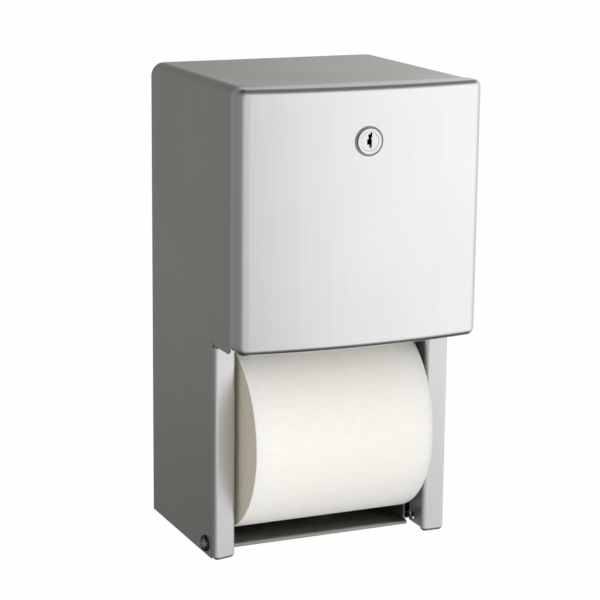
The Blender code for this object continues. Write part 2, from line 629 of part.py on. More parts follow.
# Cam outline about the shaft: an arc head under the reserve journal, and a finger over the pocket
cam_shaft_centre = (CAM_SHAFT_DEPTH, CAM_SHAFT_HEIGHT)
journal_rise = RESERVE_ROLL_HEIGHT - CAM_SHAFT_HEIGHT
journal_reach = ROLL_DEPTH - CAM_SHAFT_DEPTH
journal_angle = math.atan2(journal_rise, -journal_reach)
head_radius = math.hypot(journal_rise, journal_reach) - JOURNAL_RADIUS - FIT_GAP
neck_radius = head_radius * CAM_NECK_SHARE
head_low = journal_angle + math.radians(CAM_HEAD_BELOW_JOURNAL_DEG)
head_high = journal_angle - math.radians(CAM_HEAD_ABOVE_JOURNAL_DEG)
finger_angle = math.radians(FINGER_ANGLE_DEG)


def around_shaft(radius, angle):
    """Depth and height of a place at a radius and angle from the cam shaft's axis."""
    return (CAM_SHAFT_DEPTH - radius * math.cos(angle), CAM_SHAFT_HEIGHT + radius * math.sin(angle))


arm_below = (around_shaft(CAM_ROOT_RADIUS, finger_angle - math.radians(FINGER_ROOT_DEG)),
             around_shaft(neck_radius, head_low - math.radians(CAM_NECK_DEG)))
arm_above = (around_shaft(neck_radius, head_high + math.radians(CAM_NECK_DEG)),
             around_shaft(CAM_ROOT_RADIUS, journal_angle - math.radians(CAM_ROOT_DEG)))


def cam_outline():
    """Outline of one cam, counted round its shaft."""
    outline = []
    for step in range(CAM_ARC_STEPS + 1):
        outline.append(around_shaft(head_radius, head_low + (head_high - head_low) * step / CAM_ARC_STEPS))
    outline.append(arm_above[0])
    root_start = journal_angle - math.radians(CAM_ROOT_DEG)
    root_end = finger_angle + math.radians(FINGER_ROOT_DEG) - 2 * math.pi
    for step in range(CAM_ARC_STEPS + 1):
        angle = root_start + (root_end - root_start) * step / CAM_ARC_STEPS
        outline.append(around_shaft(CAM_ROOT_RADIUS, angle))
    tip_depth, tip_height = around_shaft(FINGER_LENGTH, finger_angle)
    half = CAM_ARC_STEPS // 2
    for step in range(half, -half - 1, -1):
        angle = finger_angle + math.pi / 2 * step / half
        outline.append((tip_depth - FINGER_HALF_WIDTH * math.cos(angle),
                        tip_height + FINGER_HALF_WIDTH * math.sin(angle)))
    outline += arm_below
    return outline


def stud_centre(edge, swing):
    """Where a stop stud stands so that a straight edge of the cam comes to rest on it after a swing."""
    first, last = [Vector((CAM_SHAFT_DEPTH - depth, height - CAM_SHAFT_HEIGHT)) for depth, height in edge]
    heading = (last - first).normalized()
    normal = Vector((-heading.y, heading.x))
    turned_from_normal = math.acos((normal.dot(first) + STUD_RADIUS + FIT_GAP) / STUD_DISTANCE)
    side = math.copysign(1, -heading.x)
    return around_shaft(STUD_DISTANCE, math.atan2(normal.y, normal.x) - side * turned_from_normal - swing)


cam_pivot = point(0, *cam_shaft_centre)
right_cam = extrude(cam_outline(), "depth-height", CAM_INNER_X, CAM_OUTER_X, "right_cam", CAM_STEEL,
                    cam_pivot)
pin_low = CAM_SHAFT_HEIGHT - CAM_HUB_RADIUS
pin_high = CAM_SHAFT_HEIGHT + CAM_HUB_RADIUS
pin_hole = circle((CAM_PIN_X, CAM_SHAFT_DEPTH), CAM_PIN_RADIUS + FIT_GAP)
join(right_cam, extrude(circle(cam_shaft_centre, CAM_HUB_RADIUS), "depth-height", CAM_INNER_X, CAM_HUB_END))
cut(
    right_cam,
    extrude(circle(cam_shaft_centre, CAM_SHAFT_RADIUS + FIT_GAP), "depth-height", CAM_INNER_X - CUT_OVERRUN,
            CAM_HUB_END + CUT_OVERRUN),
    extrude(pin_hole, "x-depth", pin_low - CUT_OVERRUN, pin_high + CUT_OVERRUN),
)
mirrored(right_cam, "left_cam")

# Cam shaft across both tracks, with a clip groove near each end and a cross hole for each cam's pin
shaft_profile = [(-CAM_SHAFT_END, 0), (-CAM_SHAFT_END, CAM_SHAFT_RADIUS)]
for groove in (-CLIP_GROOVE_X, CLIP_GROOVE_X):
    near, far = groove - CLIP_GROOVE_WIDTH / 2, groove + CLIP_GROOVE_WIDTH / 2
    shaft_profile += [(near, CAM_SHAFT_RADIUS), (near, CLIP_GROOVE_RADIUS), (far, CLIP_GROOVE_RADIUS),
                      (far, CAM_SHAFT_RADIUS)]
shaft_profile += [(CAM_SHAFT_END, CAM_SHAFT_RADIUS), (CAM_SHAFT_END, 0)]
shaft = turned(shaft_profile, "x", cam_shaft_centre, COARSE_STEPS, "cam_shaft", CAM_STEEL, cam_pivot)
for side in (-1, 1):
    side_hole = circle((side * CAM_PIN_X, CAM_SHAFT_DEPTH), CAM_PIN_RADIUS + FIT_GAP)
    cut(shaft, extrude(side_hole, "x-depth", pin_low - CUT_OVERRUN, pin_high + CUT_OVERRUN))
right_pin = extrude(circle((CAM_PIN_X, CAM_SHAFT_DEPTH), CAM_PIN_RADIUS), "x-depth", pin_low, pin_high,
                    "right_cam_pin", CAM_STEEL, cam_pivot)
clip_inner = CLIP_GROOVE_RADIUS + FIT_GAP
clip_mouth = clip_inner * CLIP_MOUTH_SHARE
clip = turned([(CLIP_GROOVE_X - CLIP_WIDTH / 2, clip_inner), (CLIP_GROOVE_X - CLIP_WIDTH / 2, CLIP_RADIUS),
               (CLIP_GROOVE_X + CLIP_WIDTH / 2, CLIP_RADIUS), (CLIP_GROOVE_X + CLIP_WIDTH / 2, clip_inner)],
              "x", cam_shaft_centre, COARSE_STEPS, "right_shaft_clip", CAM_STEEL, cam_pivot, closed=True)
cut(clip, block((CLIP_GROOVE_X - CLIP_WIDTH, CLIP_GROOVE_X + CLIP_WIDTH),
                (CAM_SHAFT_DEPTH - clip_mouth, CAM_SHAFT_DEPTH + clip_mouth),
                (CAM_SHAFT_HEIGHT - CLIP_RADIUS - CUT_OVERRUN, CAM_SHAFT_HEIGHT)))

# Bushings in the tracks for the cam shaft
bushing_bore = CAM_SHAFT_RADIUS + FIT_GAP
flange_outer = TRACK_INNER_X - FIT_GAP
flange_inner = flange_outer - BUSHING_FLANGE
right_bushing = turned(
    [(flange_inner, bushing_bore), (flange_inner, BUSHING_FLANGE_RADIUS),
     (flange_outer, BUSHING_FLANGE_RADIUS), (flange_outer, BUSHING_RADIUS), (TRACK_OUTER_X, BUSHING_RADIUS),
     (TRACK_OUTER_X, bushing_bore)],
    "x", cam_shaft_centre, COARSE_STEPS, "right_shaft_bushing", NYLON, closed=True)
for right_piece in (right_pin, clip, right_bushing):
    mirrored(right_piece, right_piece.name.replace("right", "left"))

# Spindle tracks: galvanised plates with the journals' track, a pocket for the used spindle and two stop studs
track_rear = SHEET + FIT_GAP
track_low = FLOOR_TOP + FIT_GAP
track_path = [(TRACK_INNER_X, TRACK_FRONT), (TRACK_INNER_X, track_rear), (TRACK_FOOT_X, track_rear)]
track = extrude(bent_sheet(track_path, TRACK_SHEET, (TRACK_BEND,)), "x-depth", track_low, TRACK_TOP,
                "right_spindle_track", GALVANISED)
track_cut_x = TRACK_FOOT_X + CUT_OVERRUN
slot_radius = JOURNAL_RADIUS + JOURNAL_PLAY
track_slots = (
    ((ROLL_DEPTH, LOWER_ROLL_HEIGHT), (ROLL_DEPTH, TRACK_MOUTH_HEIGHT)),
    ((ROLL_DEPTH, TRACK_MOUTH_HEIGHT), (TRACK_FRONT + slot_radius, TRACK_MOUTH_HEIGHT)),
    ((ROLL_DEPTH, POCKET_MOUTH_HEIGHT), (POCKET_DEPTH, POCKET_TURN_HEIGHT)),
    ((POCKET_DEPTH, POCKET_TURN_HEIGHT), (POCKET_DEPTH, POCKET_HEIGHT)),
)
flange_cut_depth = (-CUT_OVERRUN, TRACK_BEND + CUT_OVERRUN)
cam_clearance = CAM_ROOT_RADIUS + CUT_OVERRUN
cut(
    track,
    block((0, track_cut_x), flange_cut_depth, (track_low - CUT_OVERRUN, TRACK_REAR_FLANGE_LOW)),
    block((TRACK_OUTER_X, track_cut_x), flange_cut_depth,
          (CAM_SHAFT_HEIGHT - cam_clearance, CAM_SHAFT_HEIGHT + cam_clearance)),
)
join(track, block((TRACK_INNER_X, TRACK_FOOT_X), (TRACK_FOOT_REAR, TRACK_FRONT - TRACK_CORNER),
                  (track_low, track_low + TRACK_SHEET)))
cut(track, *[extrude(stadium(first, last, slot_radius), "depth-height", 0, track_cut_x)
             for first, last in track_slots])
track_corner = [(TRACK_FRONT + CUT_OVERRUN, TRACK_TOP - TRACK_CORNER - CUT_OVERRUN),
                (TRACK_FRONT + CUT_OVERRUN, TRACK_TOP + CUT_OVERRUN),
                (TRACK_FRONT - TRACK_CORNER - CUT_OVERRUN, TRACK_TOP + CUT_OVERRUN)]
cut(
    track,
    extrude(circle(cam_shaft_centre, BUSHING_RADIUS + FIT_GAP), "depth-height", 0, track_cut_x),
    extrude(track_corner, "depth-height", 0, track_cut_x),
)
for edge, swing in ((arm_below, 0), (arm_above, math.radians(CAM_SWING_DEG))):
    join(track, extrude(circle(stud_centre(edge, swing), STUD_RADIUS), "depth-height", TRACK_INNER_X,
                        TRACK_OUTER_X + STUD_LENGTH))
mirrored(track, "left_spindle_track")

# Spindles: one-piece mouldings with a rim and a collar at each end and a journal in each track
spindle_half = [
    (SPINDLE_WAIST_HALF_WIDTH, SPINDLE_WAIST_RADIUS), (SPINDLE_WAIST_HALF_WIDTH, SPINDLE_BODY_RADIUS),
    (SPINDLE_RIM_INNER, SPINDLE_BODY_RADIUS), (SPINDLE_RIM_INNER, SPINDLE_RIM_RADIUS),
    (SPINDLE_RIM_OUTER, SPINDLE_RIM_RADIUS), (SPINDLE_RIM_OUTER, SPINDLE_COLLAR_RADIUS),
    (TRACK_INNER_X - FIT_GAP, SPINDLE_COLLAR_RADIUS), (TRACK_INNER_X - FIT_GAP, JOURNAL_RADIUS),
    (JOURNAL_END - JOURNAL_CHAMFER, JOURNAL_RADIUS), (JOURNAL_END, JOURNAL_RADIUS - JOURNAL_CHAMFER),
    (JOURNAL_END, 0),
]
spindle_profile = [(-place, radius) for place, radius in spindle_half[::-1]] + spindle_half
core_inner = CORE_RADIUS - CORE_WALL
core_profile = [(-CORE_HALF_WIDTH, core_inner), (-CORE_HALF_WIDTH, CORE_RADIUS),
                (CORE_HALF_WIDTH, CORE_RADIUS), (CORE_HALF_WIDTH, core_inner)]
paper_inner = CORE_RADIUS + FIT_GAP
paper_profile = [
    (-ROLL_HALF_WIDTH, paper_inner), (-ROLL_HALF_WIDTH, ROLL_RADIUS - ROLL_EDGE),
    (ROLL_EDGE - ROLL_HALF_WIDTH, ROLL_RADIUS), (ROLL_HALF_WIDTH - ROLL_EDGE, ROLL_RADIUS),
    (ROLL_HALF_WIDTH, ROLL_RADIUS - ROLL_EDGE), (ROLL_HALF_WIDTH, paper_inner),
]
for name, height in (("lower", LOWER_ROLL_HEIGHT), ("reserve", RESERVE_ROLL_HEIGHT)):
    roll_centre = (ROLL_DEPTH, height)
    roll_pivot = point(0, *roll_centre)
    turned(spindle_profile, "x", roll_centre, FINE_STEPS, name + "_spindle", ABS, roll_pivot)
    turned(core_profile, "x", roll_centre, FINE_STEPS, name + "_core", CARD, roll_pivot, closed=True)
    turned(paper_profile, "x", roll_centre, ROLL_STEPS, name + "_paper_roll", PAPER, roll_pivot, closed=True)

# Strike under the cabinet's top, which the lock's tongue turns up behind
strike_top = CABINET_HEIGHT - SHEET - FIT_GAP
strike_path = [(STRIKE_FRONT, STRIKE_BOTTOM), (STRIKE_FRONT, strike_top), (STRIKE_REAR, strike_top)]
extrude(bent_sheet(strike_path, STRIKE_SHEET, (STRIKE_BEND,)), "depth-height", -STRIKE_HALF_WIDTH,
        STRIKE_HALF_WIDTH, "lock_strike", GALVANISED)

# Door front: a drawn panel with a bowed face
door_pivot = point(0, PIVOT_DEPTH, PIVOT_HEIGHT)
lock_centre = (0, LOCK_HEIGHT)
panel_sides = (-HALF_WIDTH, HALF_WIDTH, PANEL_BOTTOM, CABINET_HEIGHT)
panel = pan("door_panel", STAINLESS, door_pivot, panel_sides, CABINET_DEPTH_HIGH + FIT_GAP,
            (PANEL_EDGE_DEPTH, PANEL_BOW), PANEL_EDGE_RADIUS, PANEL_CORNER_RADIUS, PANEL_CORNER_STEPS,
            PANEL_EDGE_STEPS, PANEL_COLUMNS)
barrel_hole = circle(lock_centre, LOCK_BARREL_RADIUS + FIT_GAP)
cut(panel, extrude(barrel_hole, "x-height", PANEL_EDGE_DEPTH, LOCK_FACE_DEPTH + CUT_OVERRUN))

# Door legs: a drawn face beside the roll, an inner flange, and a side plate that runs up inside the cabinet
hem_rear = LOW_SIDE_DEPTH + FIT_GAP
leg = pan("right_door_leg", STAINLESS, door_pivot, (LEG_INNER_X, HALF_WIDTH, 0, LEG_TOP), hem_rear,
          (LEG_DEPTH, 0), LEG_EDGE_RADIUS, LEG_CORNER_RADIUS, LEG_CORNER_STEPS, LEG_EDGE_STEPS, 1)
plate_outline = [
    (SIDE_PLATE_REAR + SIDE_PLATE_CHAMFER, SIDE_PLATE_FOOT), (hem_rear + SHEET, SIDE_PLATE_FOOT),
    (hem_rear + SHEET, STEP_HEIGHT + SIDE_PLATE_CHAMFER),
    (CABINET_DEPTH_HIGH - SIDE_PLATE_CHAMFER, STEP_HEIGHT + SIDE_PLATE_CHAMFER),
    (CABINET_DEPTH_HIGH, PANEL_BOTTOM + PANEL_CORNER_RADIUS),
    (SIDE_PLATE_FRONT, PANEL_BOTTOM + PANEL_CORNER_RADIUS),
    (SIDE_PLATE_FRONT, SIDE_PLATE_TOP),
    (SIDE_PLATE_UPPER_REAR, SIDE_PLATE_TOP), (SIDE_PLATE_UPPER_REAR, STEP_HEIGHT + 2 * SIDE_PLATE_CHAMFER),
    (SIDE_PLATE_REAR, STEP_HEIGHT), (SIDE_PLATE_REAR, SIDE_PLATE_FOOT + SIDE_PLATE_CHAMFER),
]
join(
    leg,
    block((LEG_INNER_X, LEG_INNER_X + SHEET), (LEG_FLANGE_REAR, hem_rear + SHEET),
          (LEG_CORNER_RADIUS, LEG_TOP - LEG_CORNER_RADIUS)),
    block((SIDE_PLATE_INNER_X, HALF_WIDTH - SHEET / 2), (hem_rear, hem_rear + SHEET),
          (LEG_CORNER_RADIUS, LEG_TOP - LEG_CORNER_RADIUS)),
    extrude(plate_outline, "depth-height", SIDE_PLATE_INNER_X, LINER_HALF_WIDTH),
)
cut(leg, extrude(circle(pivot_centre, RIVET_RADIUS + FIT_GAP), "depth-height", 0, outside))
mirrored(leg, "left_door_leg")

# Cross rail: ties the legs' side plates together under the panel's lower edge
rail_path = [(RAIL_REAR, RAIL_HEIGHT + RAIL_REAR_FLANGE), (RAIL_REAR, RAIL_HEIGHT), (RAIL_FRONT, RAIL_HEIGHT),
             (RAIL_FRONT, RAIL_HEIGHT + RAIL_FRONT_FLANGE)]
rail = extrude(bent_sheet(rail_path, SHEET, (RAIL_BEND, RAIL_BEND)), "depth-height",
               FIT_GAP - SIDE_PLATE_INNER_X, SIDE_PLATE_INNER_X - FIT_GAP, "door_cross_rail", STAINLESS,
               door_pivot)
for side in (-1, 1):
    corner_x = sorted((side * (HALF_WIDTH - PANEL_CORNER_RADIUS), side * outside))
    cut(rail, block(corner_x, (CABINET_DEPTH_HIGH, RAIL_FRONT + CUT_OVERRUN),
                    (RAIL_HEIGHT - CUT_OVERRUN, RAIL_HEIGHT + RAIL_FRONT_FLANGE + CUT_OVERRUN)))

# Pivot rivets through the cabinet's sides and the legs' side plates, with a washer under each inner head
washer_outer = SIDE_PLATE_INNER_X - FIT_GAP
washer_inner = washer_outer - WASHER_THICKNESS
tail_outer = washer_inner - FIT_GAP
tail_inner = tail_outer - RIVET_TAIL_HEIGHT
head_base = HALF_WIDTH + FIT_GAP
rivet_profile = [(tail_inner, 0), (tail_inner, RIVET_TAIL_RADIUS), (tail_outer, RIVET_TAIL_RADIUS),
                 (tail_outer, RIVET_RADIUS), (head_base, RIVET_RADIUS)]
for step in range(BEND_STEPS + 1):
    angle = math.pi / 2 * step / BEND_STEPS
    rivet_profile.append((head_base + RIVET_HEAD_HEIGHT * math.sin(angle),
                          RIVET_HEAD_RADIUS * math.cos(angle)))
rivet = turned(rivet_profile, "x", pivot_centre, COARSE_STEPS, "right_pivot_rivet", CAM_STEEL)
washer = turned([(washer_inner, RIVET_RADIUS + FIT_GAP), (washer_inner, WASHER_RADIUS),
                 (washer_outer, WASHER_RADIUS), (washer_outer, RIVET_RADIUS + FIT_GAP)],
                "x", pivot_centre, COARSE_STEPS, "right_pivot_washer", CAM_STEEL, closed=True)
for right_piece in (rivet, washer):
    mirrored(right_piece, right_piece.name.replace("right", "left"))

# Lock: flanged barrel, backing plate and nut on the panel
barrel_bore = LOCK_PLUG_RADIUS + FIT_GAP
flange_back = LOCK_FACE_DEPTH + FIT_GAP
flange_front = flange_back + LOCK_FLANGE_THICKNESS
turned([(LOCK_BARREL_REAR, barrel_bore), (LOCK_BARREL_REAR, LOCK_BARREL_RADIUS),
        (flange_back, LOCK_BARREL_RADIUS), (flange_back, LOCK_FLANGE_RADIUS),
        (flange_front - LOCK_FLANGE_CHAMFER, LOCK_FLANGE_RADIUS),
        (flange_front, LOCK_FLANGE_RADIUS - LOCK_FLANGE_CHAMFER), (flange_front, barrel_bore)],
       "depth", lock_centre, FINE_STEPS, "lock_barrel", CHROME, door_pivot, closed=True)
plate_front = panel_depth(LOCK_PLATE_HALF_WIDTH, PANEL_EDGE_DEPTH, PANEL_BOW) - SHEET - FIT_GAP
plate_rear = plate_front - LOCK_PLATE_THICKNESS
lock_plate = block((-LOCK_PLATE_HALF_WIDTH, LOCK_PLATE_HALF_WIDTH), (plate_rear, plate_front),
                   (LOCK_HEIGHT - LOCK_PLATE_HALF_HEIGHT, LOCK_HEIGHT + LOCK_PLATE_HALF_HEIGHT),
                   "lock_backing_plate", GALVANISED, door_pivot)
cut(lock_plate, extrude(barrel_hole, "x-height", plate_rear - CUT_OVERRUN, plate_front + CUT_OVERRUN))
nut_front = plate_rear - FIT_GAP
nut_rear = nut_front - LOCK_NUT_THICKNESS
nut = extrude(circle(lock_centre, LOCK_NUT_RADIUS, NUT_SIDES), "x-height", nut_rear, nut_front, "lock_nut",
              CHROME, door_pivot)
cut(nut, extrude(barrel_hole, "x-height", nut_rear - CUT_OVERRUN, nut_front + CUT_OVERRUN))

# Lock plug with its keyway, and the tongue screwed to its tail
lock_pivot = point(0, LOCK_FACE_DEPTH, LOCK_HEIGHT)
plug_front = flange_front - LOCK_PLUG_RECESS
plug_rear = LOCK_BARREL_REAR
tail_end = TONGUE_FRONT - TONGUE_THICKNESS
plug = turned([(tail_end, 0), (tail_end, LOCK_TAIL_RADIUS), (plug_rear, LOCK_TAIL_RADIUS),
               (plug_rear, LOCK_PLUG_RADIUS), (plug_front, LOCK_PLUG_RADIUS), (plug_front, 0)],
              "depth", lock_centre, FINE_STEPS, "lock_plug", CHROME, lock_pivot)
keyway_steps = (
    (-1 / 2, KEYWAY_LOW_STEP), (KEYWAY_LOW_SHARE, KEYWAY_LOW_STEP),
    (KEYWAY_LOW_SHARE, KEYWAY_MIDDLE_STEP), (KEYWAY_HIGH_SHARE, KEYWAY_MIDDLE_STEP),
    (KEYWAY_HIGH_SHARE, KEYWAY_HIGH_STEP), (1 / 2, KEYWAY_HIGH_STEP),
)
keyway = [(KEYWAY_WIDTH / 2 + offset, LOCK_HEIGHT + KEYWAY_HEIGHT * share) for share, offset in keyway_steps]
keyway += [(offset - KEYWAY_WIDTH / 2, LOCK_HEIGHT + KEYWAY_HEIGHT * share)
           for share, offset in keyway_steps[::-1]]
cut(
    plug,
    extrude(keyway, "x-height", plug_front - KEYWAY_DEPTH, plug_front + CUT_OVERRUN),
    extrude(circle(lock_centre, SCREW_RADIUS + FIT_GAP), "x-height", tail_end - CUT_OVERRUN,
            tail_end + SCREW_LENGTH + CUT_OVERRUN),
)
tongue_low = LOCK_HEIGHT - TONGUE_HALF_WIDTH
tongue_high = LOCK_HEIGHT + TONGUE_HALF_WIDTH
tongue_outline = [
    (TONGUE_HALF_WIDTH, tongue_low), (TONGUE_HALF_WIDTH, tongue_high),
    (TONGUE_NOSE - TONGUE_LENGTH, tongue_high), (-TONGUE_LENGTH, tongue_high - TONGUE_NOSE),
    (-TONGUE_LENGTH, tongue_low),
]
tongue = extrude(tongue_outline, "x-height", tail_end, TONGUE_FRONT, "lock_tongue", GALVANISED, lock_pivot)
cut(tongue, extrude(circle(lock_centre, LOCK_TAIL_RADIUS + FIT_GAP), "x-height", tail_end - CUT_OVERRUN,
                    TONGUE_FRONT + CUT_OVERRUN))
head_front = tail_end - FIT_GAP
head_rear = head_front - SCREW_HEAD_HEIGHT
screw_end = head_front + SCREW_LENGTH
screw = turned([(head_rear, 0), (head_rear, SCREW_HEAD_RADIUS), (head_front, SCREW_HEAD_RADIUS),
                (head_front, SCREW_RADIUS), (screw_end, SCREW_RADIUS), (screw_end, 0)],
               "depth", lock_centre, COARSE_STEPS, "lock_tongue_screw", CAM_STEEL, lock_pivot)
slot_reach = SCREW_HEAD_RADIUS + CUT_OVERRUN
cut(screw, block((-slot_reach, slot_reach), (head_rear - CUT_OVERRUN, head_rear + SCREW_SLOT_DEPTH),
                 (LOCK_HEIGHT - SCREW_SLOT_WIDTH / 2, LOCK_HEIGHT + SCREW_SLOT_WIDTH / 2)))
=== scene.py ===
"""Looks of the double roll toilet paper dispenser: finer shapes, finishes, light and the camera.

Metres, in the CAD frame: X to the right as seen from the front, Y towards the wall, Z up.
"""
import json
import math
import random

import bpy
from mathutils import Matrix, Vector

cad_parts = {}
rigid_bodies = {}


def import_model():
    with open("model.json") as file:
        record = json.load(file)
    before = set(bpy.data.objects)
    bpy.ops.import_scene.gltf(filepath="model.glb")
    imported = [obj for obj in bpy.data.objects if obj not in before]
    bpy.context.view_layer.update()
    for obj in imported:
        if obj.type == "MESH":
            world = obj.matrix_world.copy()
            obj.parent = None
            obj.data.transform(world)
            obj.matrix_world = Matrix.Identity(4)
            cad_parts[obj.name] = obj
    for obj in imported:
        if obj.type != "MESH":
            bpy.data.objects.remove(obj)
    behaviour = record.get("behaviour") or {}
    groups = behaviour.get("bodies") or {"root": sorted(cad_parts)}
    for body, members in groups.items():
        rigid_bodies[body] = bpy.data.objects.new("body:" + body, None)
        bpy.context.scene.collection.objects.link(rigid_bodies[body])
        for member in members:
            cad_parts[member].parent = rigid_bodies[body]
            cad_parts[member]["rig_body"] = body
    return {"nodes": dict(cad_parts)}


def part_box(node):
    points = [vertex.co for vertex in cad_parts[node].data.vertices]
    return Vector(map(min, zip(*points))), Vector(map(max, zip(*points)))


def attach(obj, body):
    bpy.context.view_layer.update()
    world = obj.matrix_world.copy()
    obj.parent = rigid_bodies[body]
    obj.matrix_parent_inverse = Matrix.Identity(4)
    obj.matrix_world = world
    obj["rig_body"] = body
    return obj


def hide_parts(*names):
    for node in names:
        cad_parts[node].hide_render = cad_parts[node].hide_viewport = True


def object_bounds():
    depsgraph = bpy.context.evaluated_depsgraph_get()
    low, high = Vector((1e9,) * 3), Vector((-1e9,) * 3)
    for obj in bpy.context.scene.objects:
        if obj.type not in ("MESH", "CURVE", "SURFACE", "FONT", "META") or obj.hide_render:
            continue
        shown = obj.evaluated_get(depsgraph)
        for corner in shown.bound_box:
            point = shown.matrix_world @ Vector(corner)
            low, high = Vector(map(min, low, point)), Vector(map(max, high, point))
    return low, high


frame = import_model()
CAD_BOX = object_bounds()

# The photograph's camera, fitted to the cabinet's edges in the 600 pixel frame
CAMERA_PLACE = (-0.5093, -1.2008, 0.2887)
CAMERA_YAW = 0.41815
CAMERA_PITCH = 0.22655
CAMERA_ROLL = 0.01057
FOCAL_PIXELS = 2093.0
FRAME_PIXELS = 600
SENSOR = 36.0
NEAREST_SEEN = 0.05

# Modelling: tolerances, the share of a normal from which a face looks along an axis, the length in half
# widths of a rod that cuts through both sides, and the steps round holes and turned pieces
FIT_GAP = 0.0003
TOUCHING = 0.0001
MERGE_TURNED = 1e-6
MERGE_COPIED = 2e-6
FLAT_ANGLE = math.radians(0.5)
SHARP_ANGLE = math.radians(40)
SMOOTH_ANGLE = math.radians(32)
FACING = 0.5
FACING_FRONT = 0.9
FACING_END = 0.8
CUT_THROUGH = 3
HOLE_STEPS = 48
TURNED_STEPS = 96

# Sheet metal
SHEET = 0.0009
CABINET_BEND = 0.008
BEND_SEGMENTS = 14
EDGE_ROUND = 0.00022
EDGE_SEGMENTS = 2
LOW_SIDE_DEPTH = 0.1025
STEP_BELOW_PANEL = 0.0015
STEP_RELIEF_RADIUS = 0.0014
STEP_CORNER = 0.004
SIDE_CREASE_DEPTH = 0.0845
SIDE_CREASE_HALF = 0.0012
SIDE_CREASE_RISE = 0.00012

# Front panel: its side edges are rounder than its top and bottom edges
PANEL_BOW = 0.0068
PANEL_COLUMNS = 36
PANEL_CORNER = 0.005
PANEL_EDGE = 0.0036
PANEL_SIDE_EDGE = 0.0064
SIDE_EDGE_STATIONS = (0.004, 0.0045, 0.005, 0.0055, 0.006, 0.0064)
CORNER_SEGMENTS = 10
ROUND_SEGMENTS = 9
LOCK_HOLE = 0.0073
LOCK_HOLE_CUT = 0.01

# Legs
LEG_EDGE = 0.0022
LEG_FACE_TURNS = {"left_door_leg": math.radians(12.5), "right_door_leg": math.radians(2)}

# Lock
LOCK_HEIGHT = 0.1115
LOCK_FRONT = 0.1494
LOCK_REAR = 0.1285
FLANGE_BACK = 0.1482
FLANGE_LIP = 0.1488
GROOVE_FLOOR = 0.1486
FLANGE_RADIUS = 0.0086
GROOVE_OUTER = 0.0085
GROOVE_INNER = 0.0073
BARREL_RADIUS = 0.007
BORE_RADIUS = 0.0056
PLUG_RADIUS = 0.0055
PLUG_FRONT = 0.1493
PLUG_SHOULDER = 0.1288
TAIL_RADIUS = 0.0036
TAIL_REAR = 0.1262
LOCK_EDGE = 0.00012
KEYWAY_CUTS = (
    # left, right, low and high from the lock's centre, and the depth of the floor
    (-0.0011, 0.0014, 0.0023, 0.0041, 0.138),
    (0.0001, 0.0014, 0.004, 0.005, 0.138),
    (-0.0009, 0.0008, 0.0011, 0.0025, 0.138),
    (-0.0018, 0.0012, -0.0018, 0.0013, 0.138),
    (-0.0004, 0.0012, -0.0041, -0.0017, 0.1488),
)

# Rivets
PIVOT_RADIUS = 0.0027
HEAD_BASE = 0.0768
HEAD_TOP = 0.0782
HEAD_RADIUS = 0.005
TAIL_INNER = 0.0722
TAIL_OUTER = 0.0732
RIVET_TAIL_RADIUS = 0.0037
RIVET_SHANK = 0.0024
HEAD_SHARES = (
    # share of the head's rise, and share of its radius
    (0.35, 1.0), (0.75, 0.93), (0.9, 0.84), (0.8, 0.74), (0.35, 0.68), (0.3, 0.64),
    (0.75, 0.58), (1.0, 0.46), (0.97, 0.36), (0.7, 0.26), (0.45, 0.16), (0.4, 0.0),
)
BRIGHT_SHARE = 0.62

# Rolls
CORE_RADIUS = 0.021
ROLL_EDGE = 0.0011
ROLL_EDGE_TURNS = (30, 60, 90)
ROLL_STEPS = 160
LAYER_GROUPS = 26
LAYER_SHIFT = 0.00012

# Finishes: scales are cells for each metre, a relief is its strength and its depth, and a spread says how
# far the roughness goes below and above its middle
BELT_BAND = 0.007
BAND_SHARE = 0.4
BRUSH_STRETCH = 90
BRUSH_NOISE = {"Scale": 1.0, "Detail": 3.0, "Roughness": 0.6}
BRUSH_RELIEF = (0.12, 0.00005)
BROAD_NOISE = {"Scale": 14.0, "Detail": 1.0}
BROAD_SPREAD = (-0.05, 0.07)
CRYSTAL_SCALE = 260.0
CRYSTAL_RELIEF = (0.1, 0.00005)
MOTTLE_NOISE = {"Scale": 420.0, "Detail": 3.0}
MOTTLE_SPREAD = (-0.06, 0.08)
MOTTLE_RELIEF = (0.06, 0.00004)
GRAIN_NOISE = {"Scale": 1900.0, "Detail": 2.0}
GRAIN_RELIEF = (0.15, 0.00006)
FIBRE_NOISE = {"Scale": 900.0, "Detail": 5.0}
FIBRE_RELIEF = (0.3, 0.0001)
CREPE_STRETCH = (130.0, 1250.0, 1250.0)
CREPE_NOISE = {"Scale": 1.0, "Detail": 3.0}
CREPE_RELIEF = (0.35, 0.0002)
CREPE_TONE_ENDS = (0.35, 0.65)
RING_SCALE = 1100.0
RING_NOISE = {"Scale": 1.0, "Detail": 4.0, "Roughness": 0.7, "noise_dimensions": "1D"}
RING_RELIEF = (0.5, 0.0003)
ENDLESS = 1e6
TONE_ENDS = (0.3, 0.7)
TISSUE_DEPTH = 0.022
TISSUE_COLOUR_SHARES = (1.0, 1.0, 0.95)

# Floor: the dispenser hangs on a wall, so the floor is far enough below it for its open door. It glows as the
# surroundings do, but less near the object and where it is seen steeply: a painted shadow of the object,
# which only reflections show.
FLOOR_SIZE = 12.0
FLOOR_DROP = 0.2
FLOOR_WHITE = 0.99
NEAR_FLOOR = 0.7
FAR_FLOOR = 1.5
NEAR_LEVEL = 0.7
FLOOR_MIDDLE = (-0.08, -0.15, 0.0)
STEEP_FACING = 0.15
GRAZING_FACING = 0.6
STEEP_LEVEL = 0.12

